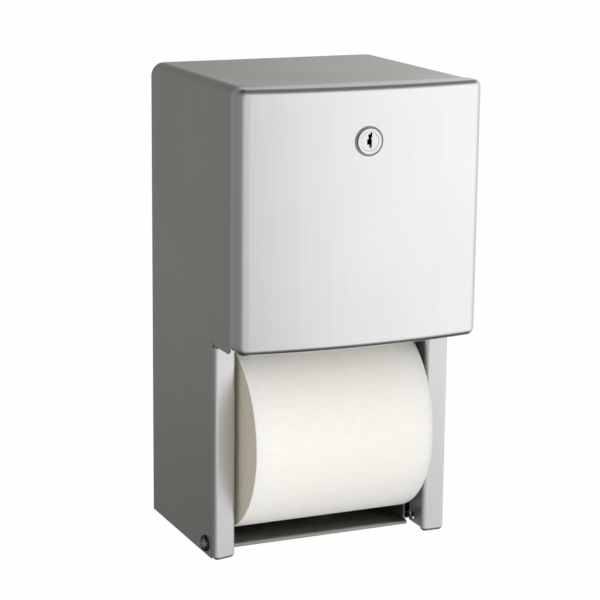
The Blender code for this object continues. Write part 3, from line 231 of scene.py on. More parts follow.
# Surroundings: bright at the front right, dimmer round to the back left and overhead, and two soft lamps
BRIGHT_SIDE = (0.76, -0.65, 0.0)
BRIGHT_LEVEL = 1.38
GLOW_STOPS = (
    # share of the way round to the bright side, and the share of the full level there
    (0.0, 0.2), (0.3, 0.22), (0.4, 0.6), (0.82, 0.6), (0.94, 0.93), (1.0, 1.0),
)
CEILING_STARTS = 0.3
CEILING_FULL = 0.8
CEILING_LEVEL = 0.32
MATT_SHARE = 1.08
LAMPS = (
    # name, place, width, height and power
    ("front_lamp", (-1.1, -1.6, 0.1), 1.2, 0.6, 15.5),
    ("overhead_lamp", (0.2, -0.5, 1.7), 2.0, 2.0, 9.0),
)


def linear(code):
    """An sRGB hex colour as linear red, green, blue and a full alpha."""
    shares = [int(code[place:place + 2], 16) / 255 for place in (1, 3, 5)]
    return tuple(s / 12.92 if s <= 0.04045 else ((s + 0.055) / 1.055) ** 2.4 for s in shares) + (1.0,)


def add(tree, kind, settings=None, links=None):
    """Add a node: settings by input or attribute name, links as input name to an output socket."""
    node = tree.nodes.new("ShaderNode" + kind)
    for name, value in (settings or {}).items():
        if isinstance(name, int) or name in node.inputs:
            node.inputs[name].default_value = value
        else:
            setattr(node, name, value)
    for name, source in (links or {}).items():
        tree.links.new(source, node.inputs[name])
    return node


def new_material(name):
    """An empty node material with its shader, and the place on the object."""
    made = bpy.data.materials.new(name)
    made.use_nodes = True
    tree = made.node_tree
    return made, tree, tree.nodes["Principled BSDF"], add(tree, "TexCoord").outputs["Object"]


def set_inputs(shader, **values):
    """Set constants on the shader's inputs, whose names have spaces for underscores."""
    for name, value in values.items():
        shader.inputs[name.replace("_", " ")].default_value = value


def two_tones(tree, shader, share, dark, light, stops=(0.0, 1.0)):
    """Colour the shader from a dark to a light tone, between two stops of the share."""
    tone = add(tree, "ValToRGB", links={"Fac": share})
    for stop, position, code in zip(tone.color_ramp.elements, stops, (dark, light)):
        stop.position = position
        stop.color = linear(code)
    tree.links.new(tone.outputs["Color"], shader.inputs["Base Color"])


def vary_gloss(tree, shader, share, roughness, spread):
    """Vary the shader's roughness about its middle."""
    gloss = add(tree, "MapRange", {"To Min": roughness + spread[0], "To Max": roughness + spread[1]},
                {"Value": share})
    tree.links.new(gloss.outputs["Result"], shader.inputs["Roughness"])


def add_relief(tree, shader, height, relief):
    """Fine relief on the shader's surface."""
    strength, depth = relief
    bump = add(tree, "Bump", {"Strength": strength, "Distance": depth}, {"Height": height})
    tree.links.new(bump.outputs["Normal"], shader.inputs["Normal"])


def brushed_stainless(name, light, dark, streak, roughness, along=2):
    """Satin stainless sheet, polished with a belt: fine parallel scratches, faint bands and a soft gloss.

    The real scratches are about 0.05 mm wide; streak is the width in metres that they are drawn at,
    so that they show. The bands are the belt's passes. along is the axis that both run in.
    """
    made, tree, shader, place = new_material(name)
    across = []
    for width in (streak, BELT_BAND):
        stretch = [1 / width] * 3
        stretch[along] = 1 / (width * BRUSH_STRETCH)
        grain = add(tree, "Mapping", {"Scale": stretch}, {"Vector": place})
        across.append(add(tree, "TexNoise", BRUSH_NOISE, {"Vector": grain.outputs["Vector"]}).outputs["Fac"])
    lines, bands = across
    broad = add(tree, "TexNoise", BROAD_NOISE, {"Vector": place})
    both = add(tree, "Mix", {"data_type": "FLOAT", "Factor": BAND_SHARE}, {"A": lines, "B": bands})
    two_tones(tree, shader, both.outputs["Result"], dark, light, TONE_ENDS)
    vary_gloss(tree, shader, broad.outputs["Fac"], roughness, BROAD_SPREAD)
    add_relief(tree, shader, lines, BRUSH_RELIEF)
    set_inputs(shader, Metallic=1.0)
    return made


def galvanised_steel(name, dark, light, roughness):
    """Hot-dip galvanised sheet: dull zinc with crystals a few millimetres across."""
    made, tree, shader, place = new_material(name)
    crystals = add(tree, "TexVoronoi", {"Scale": CRYSTAL_SCALE}, {"Vector": place}).outputs["Distance"]
    two_tones(tree, shader, crystals, dark, light)
    add_relief(tree, shader, crystals, CRYSTAL_RELIEF)
    set_inputs(shader, Metallic=1.0, Roughness=roughness)
    return made


def turned_steel(name, colour, roughness):
    """Plain turned or punched steel: smooth, with a faint mottle from handling."""
    made, tree, shader, place = new_material(name)
    mottle = add(tree, "TexNoise", MOTTLE_NOISE, {"Vector": place}).outputs["Fac"]
    vary_gloss(tree, shader, mottle, roughness, MOTTLE_SPREAD)
    add_relief(tree, shader, mottle, MOTTLE_RELIEF)
    set_inputs(shader, Base_Color=linear(colour), Metallic=1.0)
    return made


def moulded_plastic(name, colour, roughness):
    """Injection-moulded plastic: even colour, fine matt grain of about half a millimetre."""
    made, tree, shader, place = new_material(name)
    grain = add(tree, "TexNoise", GRAIN_NOISE, {"Vector": place}).outputs["Fac"]
    add_relief(tree, shader, grain, GRAIN_RELIEF)
    set_inputs(shader, Base_Color=linear(colour), Roughness=roughness)
    return made


def core_board(name, dark, light, roughness):
    """Grey-brown board wound into a tube: short fibres and a dull, absorbent face."""
    made, tree, shader, place = new_material(name)
    fibres = add(tree, "TexNoise", FIBRE_NOISE, {"Vector": place}).outputs["Fac"]
    two_tones(tree, shader, fibres, dark, light)
    add_relief(tree, shader, fibres, FIBRE_RELIEF)
    set_inputs(shader, Roughness=roughness)
    return made


def tissue_face(name, dark, light, shine):
    """Creped tissue round a roll: crepe ridges along the roll's width, soft and fully matt.

    Real crepe is about 0.3 mm from ridge to ridge; it is drawn at 0.8 mm, so that it shows.
    """
    made, tree, shader, place = new_material(name)
    stretch = add(tree, "Mapping", {"Scale": CREPE_STRETCH}, {"Vector": place})
    crepe = add(tree, "TexNoise", CREPE_NOISE, {"Vector": stretch.outputs["Vector"]}).outputs["Fac"]
    two_tones(tree, shader, crepe, dark, light, CREPE_TONE_ENDS)
    add_relief(tree, shader, crepe, CREPE_RELIEF)
    set_inputs(shader, Roughness=1.0, Specular_IOR_Level=shine, Subsurface_Weight=1.0,
               Subsurface_Radius=TISSUE_COLOUR_SHARES, Subsurface_Scale=TISSUE_DEPTH)
    return made


def tissue_edge(name, dark, light, shine, middle):
    """Cut edges of the wound tissue: rings about the roll's axis, warmer and darker than the face.

    A layer is about 0.15 mm thick; the rings are drawn every 0.9 mm, so that they show.
    """
    made, tree, shader, place = new_material(name)
    centred = add(tree, "Mapping", {"vector_type": "TEXTURE", "Location": middle,
                                    "Scale": (ENDLESS, 1.0, 1.0)}, {"Vector": place})
    reach = add(tree, "VectorMath", {"operation": "LENGTH"}, {"Vector": centred.outputs["Vector"]})
    scaled = add(tree, "Math", {"operation": "MULTIPLY", 1: RING_SCALE}, {0: reach.outputs["Value"]})
    rings = add(tree, "TexNoise", RING_NOISE)
    tree.links.new(scaled.outputs["Value"], rings.inputs["W"])
    two_tones(tree, shader, rings.outputs["Fac"], dark, light, TONE_ENDS)
    add_relief(tree, shader, rings.outputs["Fac"], RING_RELIEF)
    set_inputs(shader, Roughness=1.0, Specular_IOR_Level=shine)
    return made


def activate(piece):
    """Make the piece the only one selected, out of edit mode."""
    if bpy.context.object and bpy.context.object.mode != "OBJECT":
        bpy.ops.object.mode_set(mode="OBJECT")
    bpy.ops.object.select_all(action="DESELECT")
    bpy.context.view_layer.objects.active = piece
    piece.select_set(True)


def settle(name):
    """Name the new primitive and put its place and size into its mesh."""
    piece = bpy.context.object
    piece.name = name
    piece.data.name = name
    activate(piece)
    bpy.ops.object.transform_apply(location=True, rotation=True, scale=True)
    return piece


def block(name, low, high):
    """A box between two corners."""
    bpy.ops.object.select_all(action="DESELECT")
    low, high = Vector(low), Vector(high)
    bpy.ops.mesh.primitive_cube_add(size=1, location=(low + high) / 2)
    bpy.context.object.scale = high - low
    return settle(name)


def rod(name, middle, radius, length, axis, steps=HOLE_STEPS):
    """A round bar about the X or Y axis."""
    bpy.ops.object.select_all(action="DESELECT")
    turn = {"X": (0, math.pi / 2, 0), "Y": (math.pi / 2, 0, 0)}[axis]
    bpy.ops.mesh.primitive_cylinder_add(vertices=steps, radius=radius, depth=length, location=middle,
                                        rotation=turn)
    return settle(name)


def edit_all(piece):
    """Go into edit mode with the whole mesh selected."""
    activate(piece)
    bpy.ops.object.mode_set(mode="EDIT")
    bpy.ops.mesh.select_mode(type="VERT")
    bpy.ops.mesh.select_all(action="SELECT")


def alter(piece, kind, test, tool, **settings):
    """Run a mesh tool on the faces, edges or points that pass the test."""
    activate(piece)
    bpy.ops.object.mode_set(mode="EDIT")
    bpy.ops.mesh.select_mode(type=kind)
    bpy.ops.mesh.select_all(action="DESELECT")
    bpy.ops.object.mode_set(mode="OBJECT")
    items = {"VERT": piece.data.vertices, "EDGE": piece.data.edges, "FACE": piece.data.polygons}[kind]
    for item in items:
        item.select = test(item)
    bpy.ops.object.mode_set(mode="EDIT")
    tool(**settings)
    bpy.ops.object.mode_set(mode="OBJECT")


def slice_mesh(piece, places, axis):
    """Add a ring of edges where each plane across an axis meets the piece."""
    line = Vector((1, 0, 0)) if axis == "X" else Vector((0, 1, 0))
    for place in places:
        edit_all(piece)
        bpy.ops.mesh.bisect(plane_co=line * place, plane_no=line)
    bpy.ops.object.mode_set(mode="OBJECT")


def ends(piece, edge):
    """The two end points of an edge."""
    return [piece.data.vertices[index].co for index in edge.vertices]


def modify(piece, kind, **settings):
    """Add a modifier and apply it."""
    activate(piece)
    modifier = piece.modifiers.new(kind.title(), kind)
    for name, value in settings.items():
        setattr(modifier, name, value)
    bpy.ops.object.modifier_apply(modifier=modifier.name)


def carve(piece, tool):
    """Cut the tool's shape from the piece and remove the tool."""
    modify(piece, "BOOLEAN", object=tool, operation="DIFFERENCE", solver="EXACT")
    bpy.data.objects.remove(tool)


def soften(piece, width=EDGE_ROUND):
    """Round the sharp edges a little, as deburred metal is, and shade the piece smooth."""
    modify(piece, "BEVEL", width=width, segments=EDGE_SEGMENTS, limit_method="ANGLE",
           angle_limit=SHARP_ANGLE, use_clamp_overlap=True, harden_normals=False)
    smooth(piece)


def smooth(piece):
    """Smooth shading that keeps real corners."""
    activate(piece)
    bpy.ops.object.shade_smooth_by_angle(angle=SMOOTH_ANGLE)
    modify(piece, "WEIGHTED_NORMAL", keep_sharp=True)


def join_flats(piece):
    """Make one face of each flat that is split into many."""
    alter(piece, "FACE", lambda face: True, bpy.ops.mesh.dissolve_limited, angle_limit=FLAT_ANGLE)


def colour_faces(piece, test):
    """Give the second material to the faces that pass the test."""
    for face in piece.data.polygons:
        face.material_index = 1 if test(face) else 0


def lathe(name, profile, middle, axis, steps):
    """Turn a closed profile of (place along the axis, radius) pairs about an axis through middle."""
    bpy.ops.object.select_all(action="DESELECT")
    line = Vector((1, 0, 0)) if axis == "X" else Vector((0, 1, 0))
    points = [Vector(middle) + line * place + Vector((0, 0, radius)) for place, radius in profile]
    bpy.ops.mesh.primitive_plane_add(size=SHEET, location=points[0])
    piece = settle(name)
    edit_all(piece)
    bpy.ops.mesh.merge(type="CENTER")
    for before, after in zip(points, points[1:] + points[:1]):
        bpy.ops.mesh.extrude_region_move(TRANSFORM_OT_translate={"value": after - before})
    bpy.ops.mesh.select_all(action="SELECT")
    bpy.ops.mesh.spin(steps=steps, angle=2 * math.pi, center=middle, axis=line)
    edit_all(piece)
    bpy.ops.mesh.remove_doubles(threshold=MERGE_TURNED)
    bpy.ops.mesh.normals_make_consistent(inside=False)
    bpy.ops.object.mode_set(mode="OBJECT")
    return piece


def finish_piece(piece, node, *materials):
    """Give the piece its materials, and let it stand for a CAD node on that node's body."""
    kept = [face.material_index for face in piece.data.polygons]
    piece.data.materials.clear()
    for made in materials:
        piece.data.materials.append(made)
    for face, index in zip(piece.data.polygons, kept):
        face.material_index = index
    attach(piece, frame["nodes"][node]["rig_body"])
    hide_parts(node)
    return piece


def dress(node, made, reshape=None):
    """A copy of a CAD node with its points merged, its flats cleaned and its edges rounded."""
    bpy.ops.object.select_all(action="DESELECT")
    piece = frame["nodes"][node].copy()
    piece.data = frame["nodes"][node].data.copy()
    piece.name = node + "_finished"
    piece.data.name = node + "_finished"
    piece.parent = None
    for key in list(piece.keys()):
        del piece[key]
    bpy.context.scene.collection.objects.link(piece)
    edit_all(piece)
    bpy.ops.mesh.remove_doubles(threshold=MERGE_COPIED)
    join_flats(piece)
    if reshape:
        reshape(piece)
    soften(piece)
    return finish_piece(piece, node, made)


def crease_sides(shell, high):
    """A faint upright crease on the outside of each side."""
    slice_mesh(shell, [-SIDE_CREASE_DEPTH + shift for shift in (SIDE_CREASE_HALF, 0, -SIDE_CREASE_HALF)], "Y")
    for side in (-1, 1):
        alter(shell, "VERT", lambda vertex: abs(vertex.co.y + SIDE_CREASE_DEPTH) < TOUCHING
              and abs(vertex.co.x - side * high.x) < TOUCHING,
              bpy.ops.transform.translate, value=(side * SIDE_CREASE_RISE, 0, 0))


def cut_sides(shell, low, high, pivot):
    """Cut the sides back below the door's front, round their corners and make the rivets' holes."""
    side_front = -LOW_SIDE_DEPTH
    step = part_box("door_panel")[0].z - STEP_BELOW_PANEL
    over = CABINET_BEND
    through = high.x * CUT_THROUGH
    carve(shell, block("step_cut", (low.x - over, low.y - over, low.z - over),
                       (high.x + over, side_front, step)))
    corner = block("corner_cut", (low.x - over, side_front - over, low.z - over),
                   (high.x + over, pivot.y, pivot.z))
    carve(corner, rod("corner_round", pivot, pivot.y - side_front, through, "X"))
    carve(shell, corner)
    notch = block("step_corner_cut", (low.x - over, low.y - over, step - over),
                  (high.x + over, low.y + STEP_CORNER, step + STEP_CORNER))
    carve(notch, rod("step_corner_round", (0, low.y + STEP_CORNER, step + STEP_CORNER), STEP_CORNER,
                     through, "X", TURNED_STEPS))
    carve(shell, notch)
    carve(shell, rod("relief", (0, side_front, step), STEP_RELIEF_RADIUS, through, "X"))
    carve(shell, rod("rivet_hole", pivot, PIVOT_RADIUS, through, "X"))


def fold_shell():
    """Cabinet shell: a box without front, back and floor, its top edges bent, its sides cut back low."""
    low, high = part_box("cabinet_shell")
    rivet_low, rivet_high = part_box("left_pivot_rivet")
    shell = block("folded_shell", low, high)
    alter(shell, "FACE", lambda face: abs(face.normal.y) > FACING or face.normal.z < -FACING,
          bpy.ops.mesh.delete, type="FACE")
    alter(shell, "EDGE", lambda edge: all(abs(end.z - high.z) < FIT_GAP for end in ends(shell, edge))
          and abs(ends(shell, edge)[0].x - ends(shell, edge)[1].x) < FIT_GAP,
          bpy.ops.mesh.bevel, offset=CABINET_BEND, segments=BEND_SEGMENTS, affect="EDGES")
    modify(shell, "SOLIDIFY", thickness=SHEET, offset=-1.0)
    crease_sides(shell, high)
    pivot = Vector((0, (rivet_low.y + rivet_high.y) / 2, (rivet_low.z + rivet_high.z) / 2))
    cut_sides(shell, low, high, pivot)
    soften(shell)
    return finish_piece(shell, "cabinet_shell", SIDE_STEEL)


def round_dip(inside, radius):
    """How far a rounded edge lies behind its flat, at a distance inside from the edge's outer side."""
    away = max(0.0, radius - max(0.0, inside))
    return radius - math.sqrt(radius ** 2 - away ** 2)


def draw_pan(low, high):
    """The panel's sheet, open at the back: corners rounded, face bowed, front edges rounded."""
    pan = block("front_panel", low, high)
    alter(pan, "FACE", lambda face: face.normal.y > FACING, bpy.ops.mesh.delete, type="FACE")
    alter(pan, "EDGE", lambda one: abs(ends(pan, one)[0].y - ends(pan, one)[1].y) > FIT_GAP,
          bpy.ops.mesh.bevel, offset=PANEL_CORNER, segments=CORNER_SEGMENTS, affect="EDGES")
    middle = (low.x + high.x) / 2
    half = (high.x - low.x) / 2
    slice_mesh(pan, [low.x + PANEL_CORNER + (high.x - low.x - 2 * PANEL_CORNER) * column / PANEL_COLUMNS
                     for column in range(1, PANEL_COLUMNS)], "X")
    for vertex in pan.data.vertices:
        if vertex.co.y < low.y + FIT_GAP:
            vertex.co.y -= PANEL_BOW * (1 - ((vertex.co.x - middle) / half) ** 2)
    looks_front = {}
    for face in pan.data.polygons:
        for key in face.edge_keys:
            looks_front.setdefault(key, []).append(face.normal.y < -FACING_FRONT)
    alter(pan, "EDGE", lambda one: sorted(looks_front[one.key]) == [False, True],
          bpy.ops.mesh.bevel, offset=PANEL_EDGE, segments=ROUND_SEGMENTS, affect="EDGES",
          clamp_overlap=True)
    slice_mesh(pan, [middle + side * (half - inside) for inside in SIDE_EDGE_STATIONS for side in (-1, 1)],
               "X")
    for vertex in pan.data.vertices:
        inside = half - abs(vertex.co.x - middle)
        if vertex.co.y < high.y - FIT_GAP:
            vertex.co.y += round_dip(inside, PANEL_SIDE_EDGE) - round_dip(inside, PANEL_EDGE)
    modify(pan, "SOLIDIFY", thickness=SHEET, offset=-1.0, use_even_offset=True)
    return pan


def draw_front():
    """Door's front panel with the lock's hole."""
    low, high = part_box("door_panel")
    lock_low, lock_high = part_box("lock_barrel")
    panel = draw_pan(Vector((low.x, low.y + PANEL_BOW, low.z)), high)
    lock_middle = (0, lock_low.y, (lock_low.z + lock_high.z) / 2)
    carve(panel, rod("lock_hole", lock_middle, LOCK_HOLE, LOCK_HOLE_CUT, "Y"))
    smooth(panel)
    return finish_piece(panel, "door_panel", DOOR_STEEL)


def turn_leg_face(leg, turn):
    """Turn the drawn face of a leg a little towards the roll: its inner edge lies further back."""
    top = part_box("door_panel")[0].z - STEP_BELOW_PANEL
    turn_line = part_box("cabinet_shell")[1].x - LEG_EDGE
    for vertex in leg.data.vertices:
        inside = turn_line - abs(vertex.co.x)
        if inside > 0 and vertex.co.z < top and vertex.co.y < -LOW_SIDE_DEPTH:
            vertex.co.y += inside * math.tan(turn)


def turn_barrel():
    """Lock barrel: flange with a round groove, and the body that the plug turns in."""
    profile = [(LOCK_REAR, BORE_RADIUS), (LOCK_REAR, BARREL_RADIUS), (FLANGE_BACK, BARREL_RADIUS),
               (FLANGE_BACK, FLANGE_RADIUS), (FLANGE_LIP, FLANGE_RADIUS), (FLANGE_LIP, GROOVE_OUTER),
               (GROOVE_FLOOR, GROOVE_OUTER), (GROOVE_FLOOR, GROOVE_INNER), (LOCK_FRONT, GROOVE_INNER),
               (LOCK_FRONT, BORE_RADIUS)]
    barrel = lathe("lock_barrel_turned", [(-depth, radius) for depth, radius in profile],
                   (0, 0, LOCK_HEIGHT), "Y", TURNED_STEPS)
    soften(barrel, LOCK_EDGE)

    def in_groove(face):
        reach = math.hypot(face.center.x, face.center.z - LOCK_HEIGHT)
        return (GROOVE_INNER - LOCK_EDGE < reach < GROOVE_OUTER + LOCK_EDGE
                and -LOCK_FRONT + LOCK_EDGE < face.center.y)

    # The groove's faces take the second material, a grey painted as shade for the gap round the flange
    colour_faces(barrel, in_groove)
    return finish_piece(barrel, "lock_barrel", DOOR_STEEL, GROOVE_PAINTED_SHADE)


def turn_plug():
    """Lock plug with its keyway: two lobes, a waist and a shallow step."""
    profile = [(TAIL_REAR, 0), (TAIL_REAR, TAIL_RADIUS), (PLUG_SHOULDER, TAIL_RADIUS),
               (PLUG_SHOULDER, PLUG_RADIUS), (PLUG_FRONT, PLUG_RADIUS), (PLUG_FRONT, 0)]
    plug = lathe("lock_plug_turned", [(-depth, radius) for depth, radius in profile],
                 (0, 0, LOCK_HEIGHT), "Y", TURNED_STEPS)
    soften(plug, LOCK_EDGE)
    join_flats(plug)
    for left, right, low, high, floor in KEYWAY_CUTS:
        carve(plug, block("keyway", (left, -PLUG_FRONT - SHEET, LOCK_HEIGHT + low),
                          (right, -floor, LOCK_HEIGHT + high)))
    smooth(plug)

    def in_keyway(face):
        inside = math.hypot(face.center.x, face.center.z - LOCK_HEIGHT) < PLUG_RADIUS - LOCK_EDGE
        return inside and -PLUG_FRONT + SHEET < face.center.y < -TAIL_REAR - SHEET

    # The keyway's walls and floor take near black, painted shade for the deep slot
    colour_faces(plug, in_keyway)
    return finish_piece(plug, "lock_plug", DOOR_STEEL, KEYWAY_PAINTED_SHADE)


def head_rivet(side):
    """Tubular pivot rivet: rolled rim painted dark as the shade round the head, bright middle with a dimple,
    shank and tail.
    """
    name = "left" if side < 0 else "right"
    low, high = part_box(name + "_pivot_rivet")
    middle = Vector((0, (low.y + high.y) / 2, (low.z + high.z) / 2))
    profile = [(TAIL_INNER, 0), (TAIL_INNER, RIVET_TAIL_RADIUS), (TAIL_OUTER, RIVET_TAIL_RADIUS),
               (TAIL_OUTER, RIVET_SHANK), (HEAD_BASE, RIVET_SHANK), (HEAD_BASE, HEAD_RADIUS)]
    rise = HEAD_TOP - HEAD_BASE
    profile += [(HEAD_BASE + rise * up, HEAD_RADIUS * out) for up, out in HEAD_SHARES]
    rivet = lathe(name + "_rivet", [(side * place, radius) for place, radius in profile],
                  middle, "X", TURNED_STEPS)
    smooth(rivet)
    # The middle takes bright steel; the rim keeps the dark grey, painted shade for the gap round the head
    colour_faces(rivet, lambda face: math.hypot(face.center.y - middle.y, face.center.z - middle.z)
                 < HEAD_RADIUS * BRIGHT_SHARE and abs(face.center.x) > HEAD_BASE)
    return finish_piece(rivet, name + "_pivot_rivet", RIVET_RIM_PAINTED_SHADE, BRIGHT)


def wound_roll(which):
    """A roll of tissue: rounded edges, and layers that stand a little in and out at its ends."""
    low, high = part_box(which + "_paper_roll")
    middle = (low + high) / 2
    radius = (high.z - low.z) / 2
    half = (high.x - low.x) / 2
    random.seed(which)
    inner = CORE_RADIUS + FIT_GAP
    end = []
    for group in range(LAYER_GROUPS + 1):
        reach = inner + (radius - ROLL_EDGE - inner) * group / LAYER_GROUPS
        end.append((half - LAYER_SHIFT * random.random(), reach))
    for turn in ROLL_EDGE_TURNS:
        angle = math.radians(turn)
        end.append((half - ROLL_EDGE * (1 - math.cos(angle)), radius - ROLL_EDGE * (1 - math.sin(angle))))
    profile = end + [(-place, reach) for place, reach in end[::-1]]
    roll = lathe(which + "_tissue", profile, middle, "X", ROLL_STEPS)
    colour_faces(roll, lambda face: abs(face.normal.x) > FACING_END)
    smooth(roll)
    face_paper = tissue_face("creped_tissue_" + which, "#f2eee7", "#f6f3ed", shine=0.2)
    edge_paper = tissue_edge("tissue_cut_edges_" + which, "#bdb6a4", "#d9d3c3", shine=0.1, middle=middle)
    return finish_piece(roll, which + "_paper_roll", face_paper, edge_paper)


def product(tree, one, other):
    """The product of two values."""
    return add(tree, "Math", {"operation": "MULTIPLY"}, {0: one, 1: other}).outputs["Value"]


def larger(tree, one, other):
    """The larger of two values."""
    return add(tree, "Math", {"operation": "MAXIMUM"}, {0: one, 1: other}).outputs["Value"]


def ease(tree, value, start, end, before, after):
    """A level that goes softly from one to another while the value goes from start to end."""
    return add(tree, "MapRange", {"interpolation_type": "SMOOTHSTEP", "From Min": start, "From Max": end,
                                  "To Min": before, "To Max": after}, {"Value": value}).outputs["Result"]


def studio_glow(tree, direction):
    """How bright the studio is in a direction: brightest at the front right, dim at the left and overhead."""
    towards = add(tree, "VectorMath", {"operation": "DOT_PRODUCT", 1: BRIGHT_SIDE}, {0: direction})
    share = add(tree, "MapRange", {"From Min": -1.0}, {"Value": towards.outputs["Value"]})
    around = add(tree, "ValToRGB", links={"Fac": share.outputs["Result"]})
    stops = around.color_ramp.elements
    while len(stops) < len(GLOW_STOPS):
        stops.new(0.5)
    for stop, (position, level) in zip(stops, GLOW_STOPS):
        stop.position = position
        stop.color = (level, level, level, 1.0)
    height = add(tree, "SeparateXYZ", links={"Vector": direction}).outputs["Z"]
    upward = ease(tree, height, CEILING_STARTS, CEILING_FULL, BRIGHT_LEVEL, CEILING_LEVEL)
    return product(tree, around.outputs["Color"], upward)


def seen_rays(tree):
    """The light path node, and 1 for the rays that show the background: seen, mirrored or let through."""
    rays = add(tree, "LightPath")
    mirrored = larger(tree, rays.outputs["Is Camera Ray"], rays.outputs["Is Glossy Ray"])
    return rays, larger(tree, mirrored, rays.outputs["Is Transmission Ray"])


def white_to_eye(tree, rays, glow):
    """White where the camera looks, the studio's own brightness in metal, a little more on matt surfaces."""
    matt = add(tree, "MapRange", {"To Min": 1.0, "To Max": MATT_SHARE},
               {"Value": rays.outputs["Is Diffuse Ray"]})
    level = product(tree, glow, matt.outputs["Result"])
    return add(tree, "Mix", {"data_type": "FLOAT", "B": 1.0},
               {"Factor": rays.outputs["Is Camera Ray"], "A": level}).outputs["Result"]


def floor_level(tree, rays, place):
    """The floor's brightness: the studio's glow, lowered near the object and where it is seen steeply as a
    painted shadow in reflections.
    """
    from_middle = add(tree, "VectorMath", {"operation": "SUBTRACT", 1: FLOOR_MIDDLE},
                      {0: place}).outputs["Vector"]
    facing = add(tree, "LayerWeight").outputs["Facing"]
    grazing = ease(tree, facing, STEEP_FACING, GRAZING_FACING, STEEP_LEVEL, 1.0)
    aside = add(tree, "VectorMath", {"operation": "NORMALIZE"}, {0: from_middle}).outputs["Vector"]
    span = add(tree, "VectorMath", {"operation": "LENGTH"}, {0: from_middle}).outputs["Value"]
    near = ease(tree, span, NEAR_FLOOR, FAR_FLOOR, NEAR_LEVEL, 1.0)
    lit = product(tree, product(tree, studio_glow(tree, aside), near), grazing)
    return white_to_eye(tree, rays, lit)


def lay_floor():
    """Pale floor, which takes its brightness from the studio wherever it is seen or mirrored."""
    bpy.ops.object.select_all(action="DESELECT")
    bpy.ops.mesh.primitive_plane_add(size=FLOOR_SIZE, location=(0, 0, CAD_BOX[0].z - FLOOR_DROP))
    floor = settle("floor")
    made, tree, shader, place = new_material("pale_matt_floor")
    set_inputs(shader, Base_Color=linear("#ececec"), Roughness=1.0)
    rays, seen = seen_rays(tree)
    glow = add(tree, "Emission", links={"Strength": floor_level(tree, rays, place)})
    share = add(tree, "MapRange", {"To Max": FLOOR_WHITE}, {"Value": seen})
    both = add(tree, "MixShader", links={"Fac": share.outputs["Result"], 1: shader.outputs["BSDF"],
                                         2: glow.outputs["Emission"]})
    tree.links.new(both.outputs["Shader"], tree.nodes["Material Output"].inputs["Surface"])
    floor.data.materials.append(made)


def light_surroundings():
    """White surroundings that are dimmer at the left, at the back and overhead."""
    world = bpy.data.worlds.new("studio")
    world.use_nodes = True
    bpy.context.scene.world = world
    tree = world.node_tree
    rays = seen_rays(tree)[0]
    place = add(tree, "TexCoord").outputs["Generated"]
    background = tree.nodes["Background"]
    tree.links.new(white_to_eye(tree, rays, studio_glow(tree, place)), background.inputs["Strength"])
    set_inputs(background, Color=(1, 1, 1, 1))


def hang_lamps():
    """Soft lamps that look at the object and aren't mirrored in it."""
    for name, spot, width, height, power in LAMPS:
        light = bpy.data.lights.new(name, "AREA")
        light.shape = "RECTANGLE"
        light.size = width
        light.size_y = height
        light.energy = power
        lamp = bpy.data.objects.new(name, light)
        lamp.location = spot
        lamp.visible_glossy = False
        lamp.rotation_euler = (-Vector(spot)).to_track_quat("-Z", "Y").to_euler()
        bpy.context.scene.collection.objects.link(lamp)


def photograph_camera():
    """The camera at the photograph's place, with no shift."""
    lens = bpy.data.cameras.new("camera")
    lens.sensor_width = SENSOR
    lens.lens = FOCAL_PIXELS * SENSOR / FRAME_PIXELS
    lens.clip_start = NEAREST_SEEN
    camera = bpy.data.objects.new("camera", lens)
    turn = (Matrix.Rotation(-CAMERA_YAW, 4, "Z") @ Matrix.Rotation(math.pi / 2 - CAMERA_PITCH, 4, "X")
            @ Matrix.Rotation(CAMERA_ROLL, 4, "Z"))
    camera.matrix_world = Matrix.Translation(CAMERA_PLACE) @ turn
    bpy.context.scene.collection.objects.link(camera)
    bpy.context.scene.camera = camera
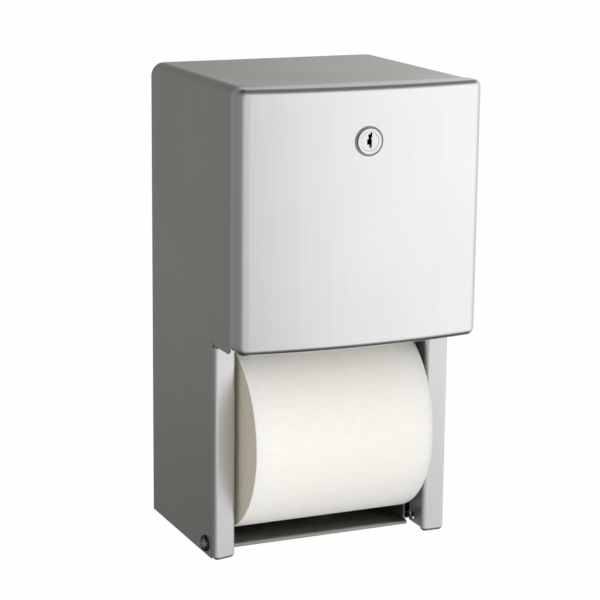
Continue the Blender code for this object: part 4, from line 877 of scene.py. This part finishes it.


# Stainless sheet: satin outside; the plates inside are rougher, and their darker tone is painted shade for
# the inside of the cabinet
# The door and legs take a lighter tone than the cabinet's side of the same sheet: painted light on the door
# and legs
SIDE_STEEL = brushed_stainless("satin_stainless_side", "#cac9c4", "#bebdb8", streak=0.0008, roughness=0.34)
DOOR_STEEL = brushed_stainless("satin_stainless_door", "#dedede", "#d9d9d9", streak=0.0008, roughness=0.3)
LEG_STEEL = brushed_stainless("satin_stainless_leg", "#dedede", "#dadada", streak=0.0008, roughness=0.42)
INNER_STEEL = brushed_stainless("dull_stainless_inside_painted_shade", "#a3a19c", "#9a9893", streak=0.0006,
                                roughness=0.42, along=0)
# Galvanised sheet of the hidden brackets, plain and chromed steel of the small hardware, and dark greys
# painted as shade on the rivets' rims, in the lock's groove and in its keyway
ZINC = galvanised_steel("galvanised_steel_sheet", "#7f8284", "#939698", roughness=0.48)
BRIGHT = turned_steel("bright_steel", "#b9b9b8", roughness=0.3)
# Dark grey painted on the rivets' rims, as the shadow gap round their heads
RIVET_RIM_PAINTED_SHADE = turned_steel("rivet_rim_painted_shade", "#4b4a48", roughness=0.28)
# A mid grey painted as the shade in the lock's groove, the shadow gap round its flange
GROOVE_PAINTED_SHADE = turned_steel("lock_groove_painted_shade", "#83807c", roughness=0.34)
# Near black painted into the keyway as the shade deep in the slot
KEYWAY_PAINTED_SHADE = turned_steel("keyway_painted_shade", "#1a1a1a", roughness=0.6)
CHROME = turned_steel("chromed_lock_metal", "#dcdcdc", roughness=0.16)
# Moulded spindles and bushings, and the rolls' board cores
GREY_PLASTIC = moulded_plastic("grey_moulded_plastic", "#55585a", roughness=0.5)
WHITE_PLASTIC = moulded_plastic("white_moulded_plastic", "#dedad0", roughness=0.5)
BOARD = core_board("wound_core_board", "#8f7c62", "#b5a386", roughness=0.9)
# The pieces whose solids have their full shape already, by material
DRESSED = {
    INNER_STEEL: ("back_plate", "floor_plate"),
    DOOR_STEEL: ("door_cross_rail",),
    ZINC: ("left_spindle_track", "right_spindle_track", "lock_strike", "lock_backing_plate", "lock_tongue"),
    BRIGHT: ("left_cam", "right_cam", "cam_shaft", "left_cam_pin", "right_cam_pin", "left_shaft_clip",
             "right_shaft_clip", "left_pivot_washer", "right_pivot_washer", "lock_tongue_screw"),
    CHROME: ("lock_nut",),
    GREY_PLASTIC: ("lower_spindle", "reserve_spindle"),
    WHITE_PLASTIC: ("left_shaft_bushing", "right_shaft_bushing"),
    BOARD: ("lower_core", "reserve_core"),
}

fold_shell()
draw_front()
turn_barrel()
turn_plug()
for side in (-1, 1):
    head_rivet(side)
for which in ("lower", "reserve"):
    wound_roll(which)
for made, nodes in DRESSED.items():
    for node in nodes:
        dress(node, made)
for node, turn in LEG_FACE_TURNS.items():
    dress(node, LEG_STEEL, lambda leg: turn_leg_face(leg, turn))
lay_floor()
light_surroundings()
hang_lamps()
photograph_camera()
bpy.context.scene.view_settings.view_transform = "Standard"
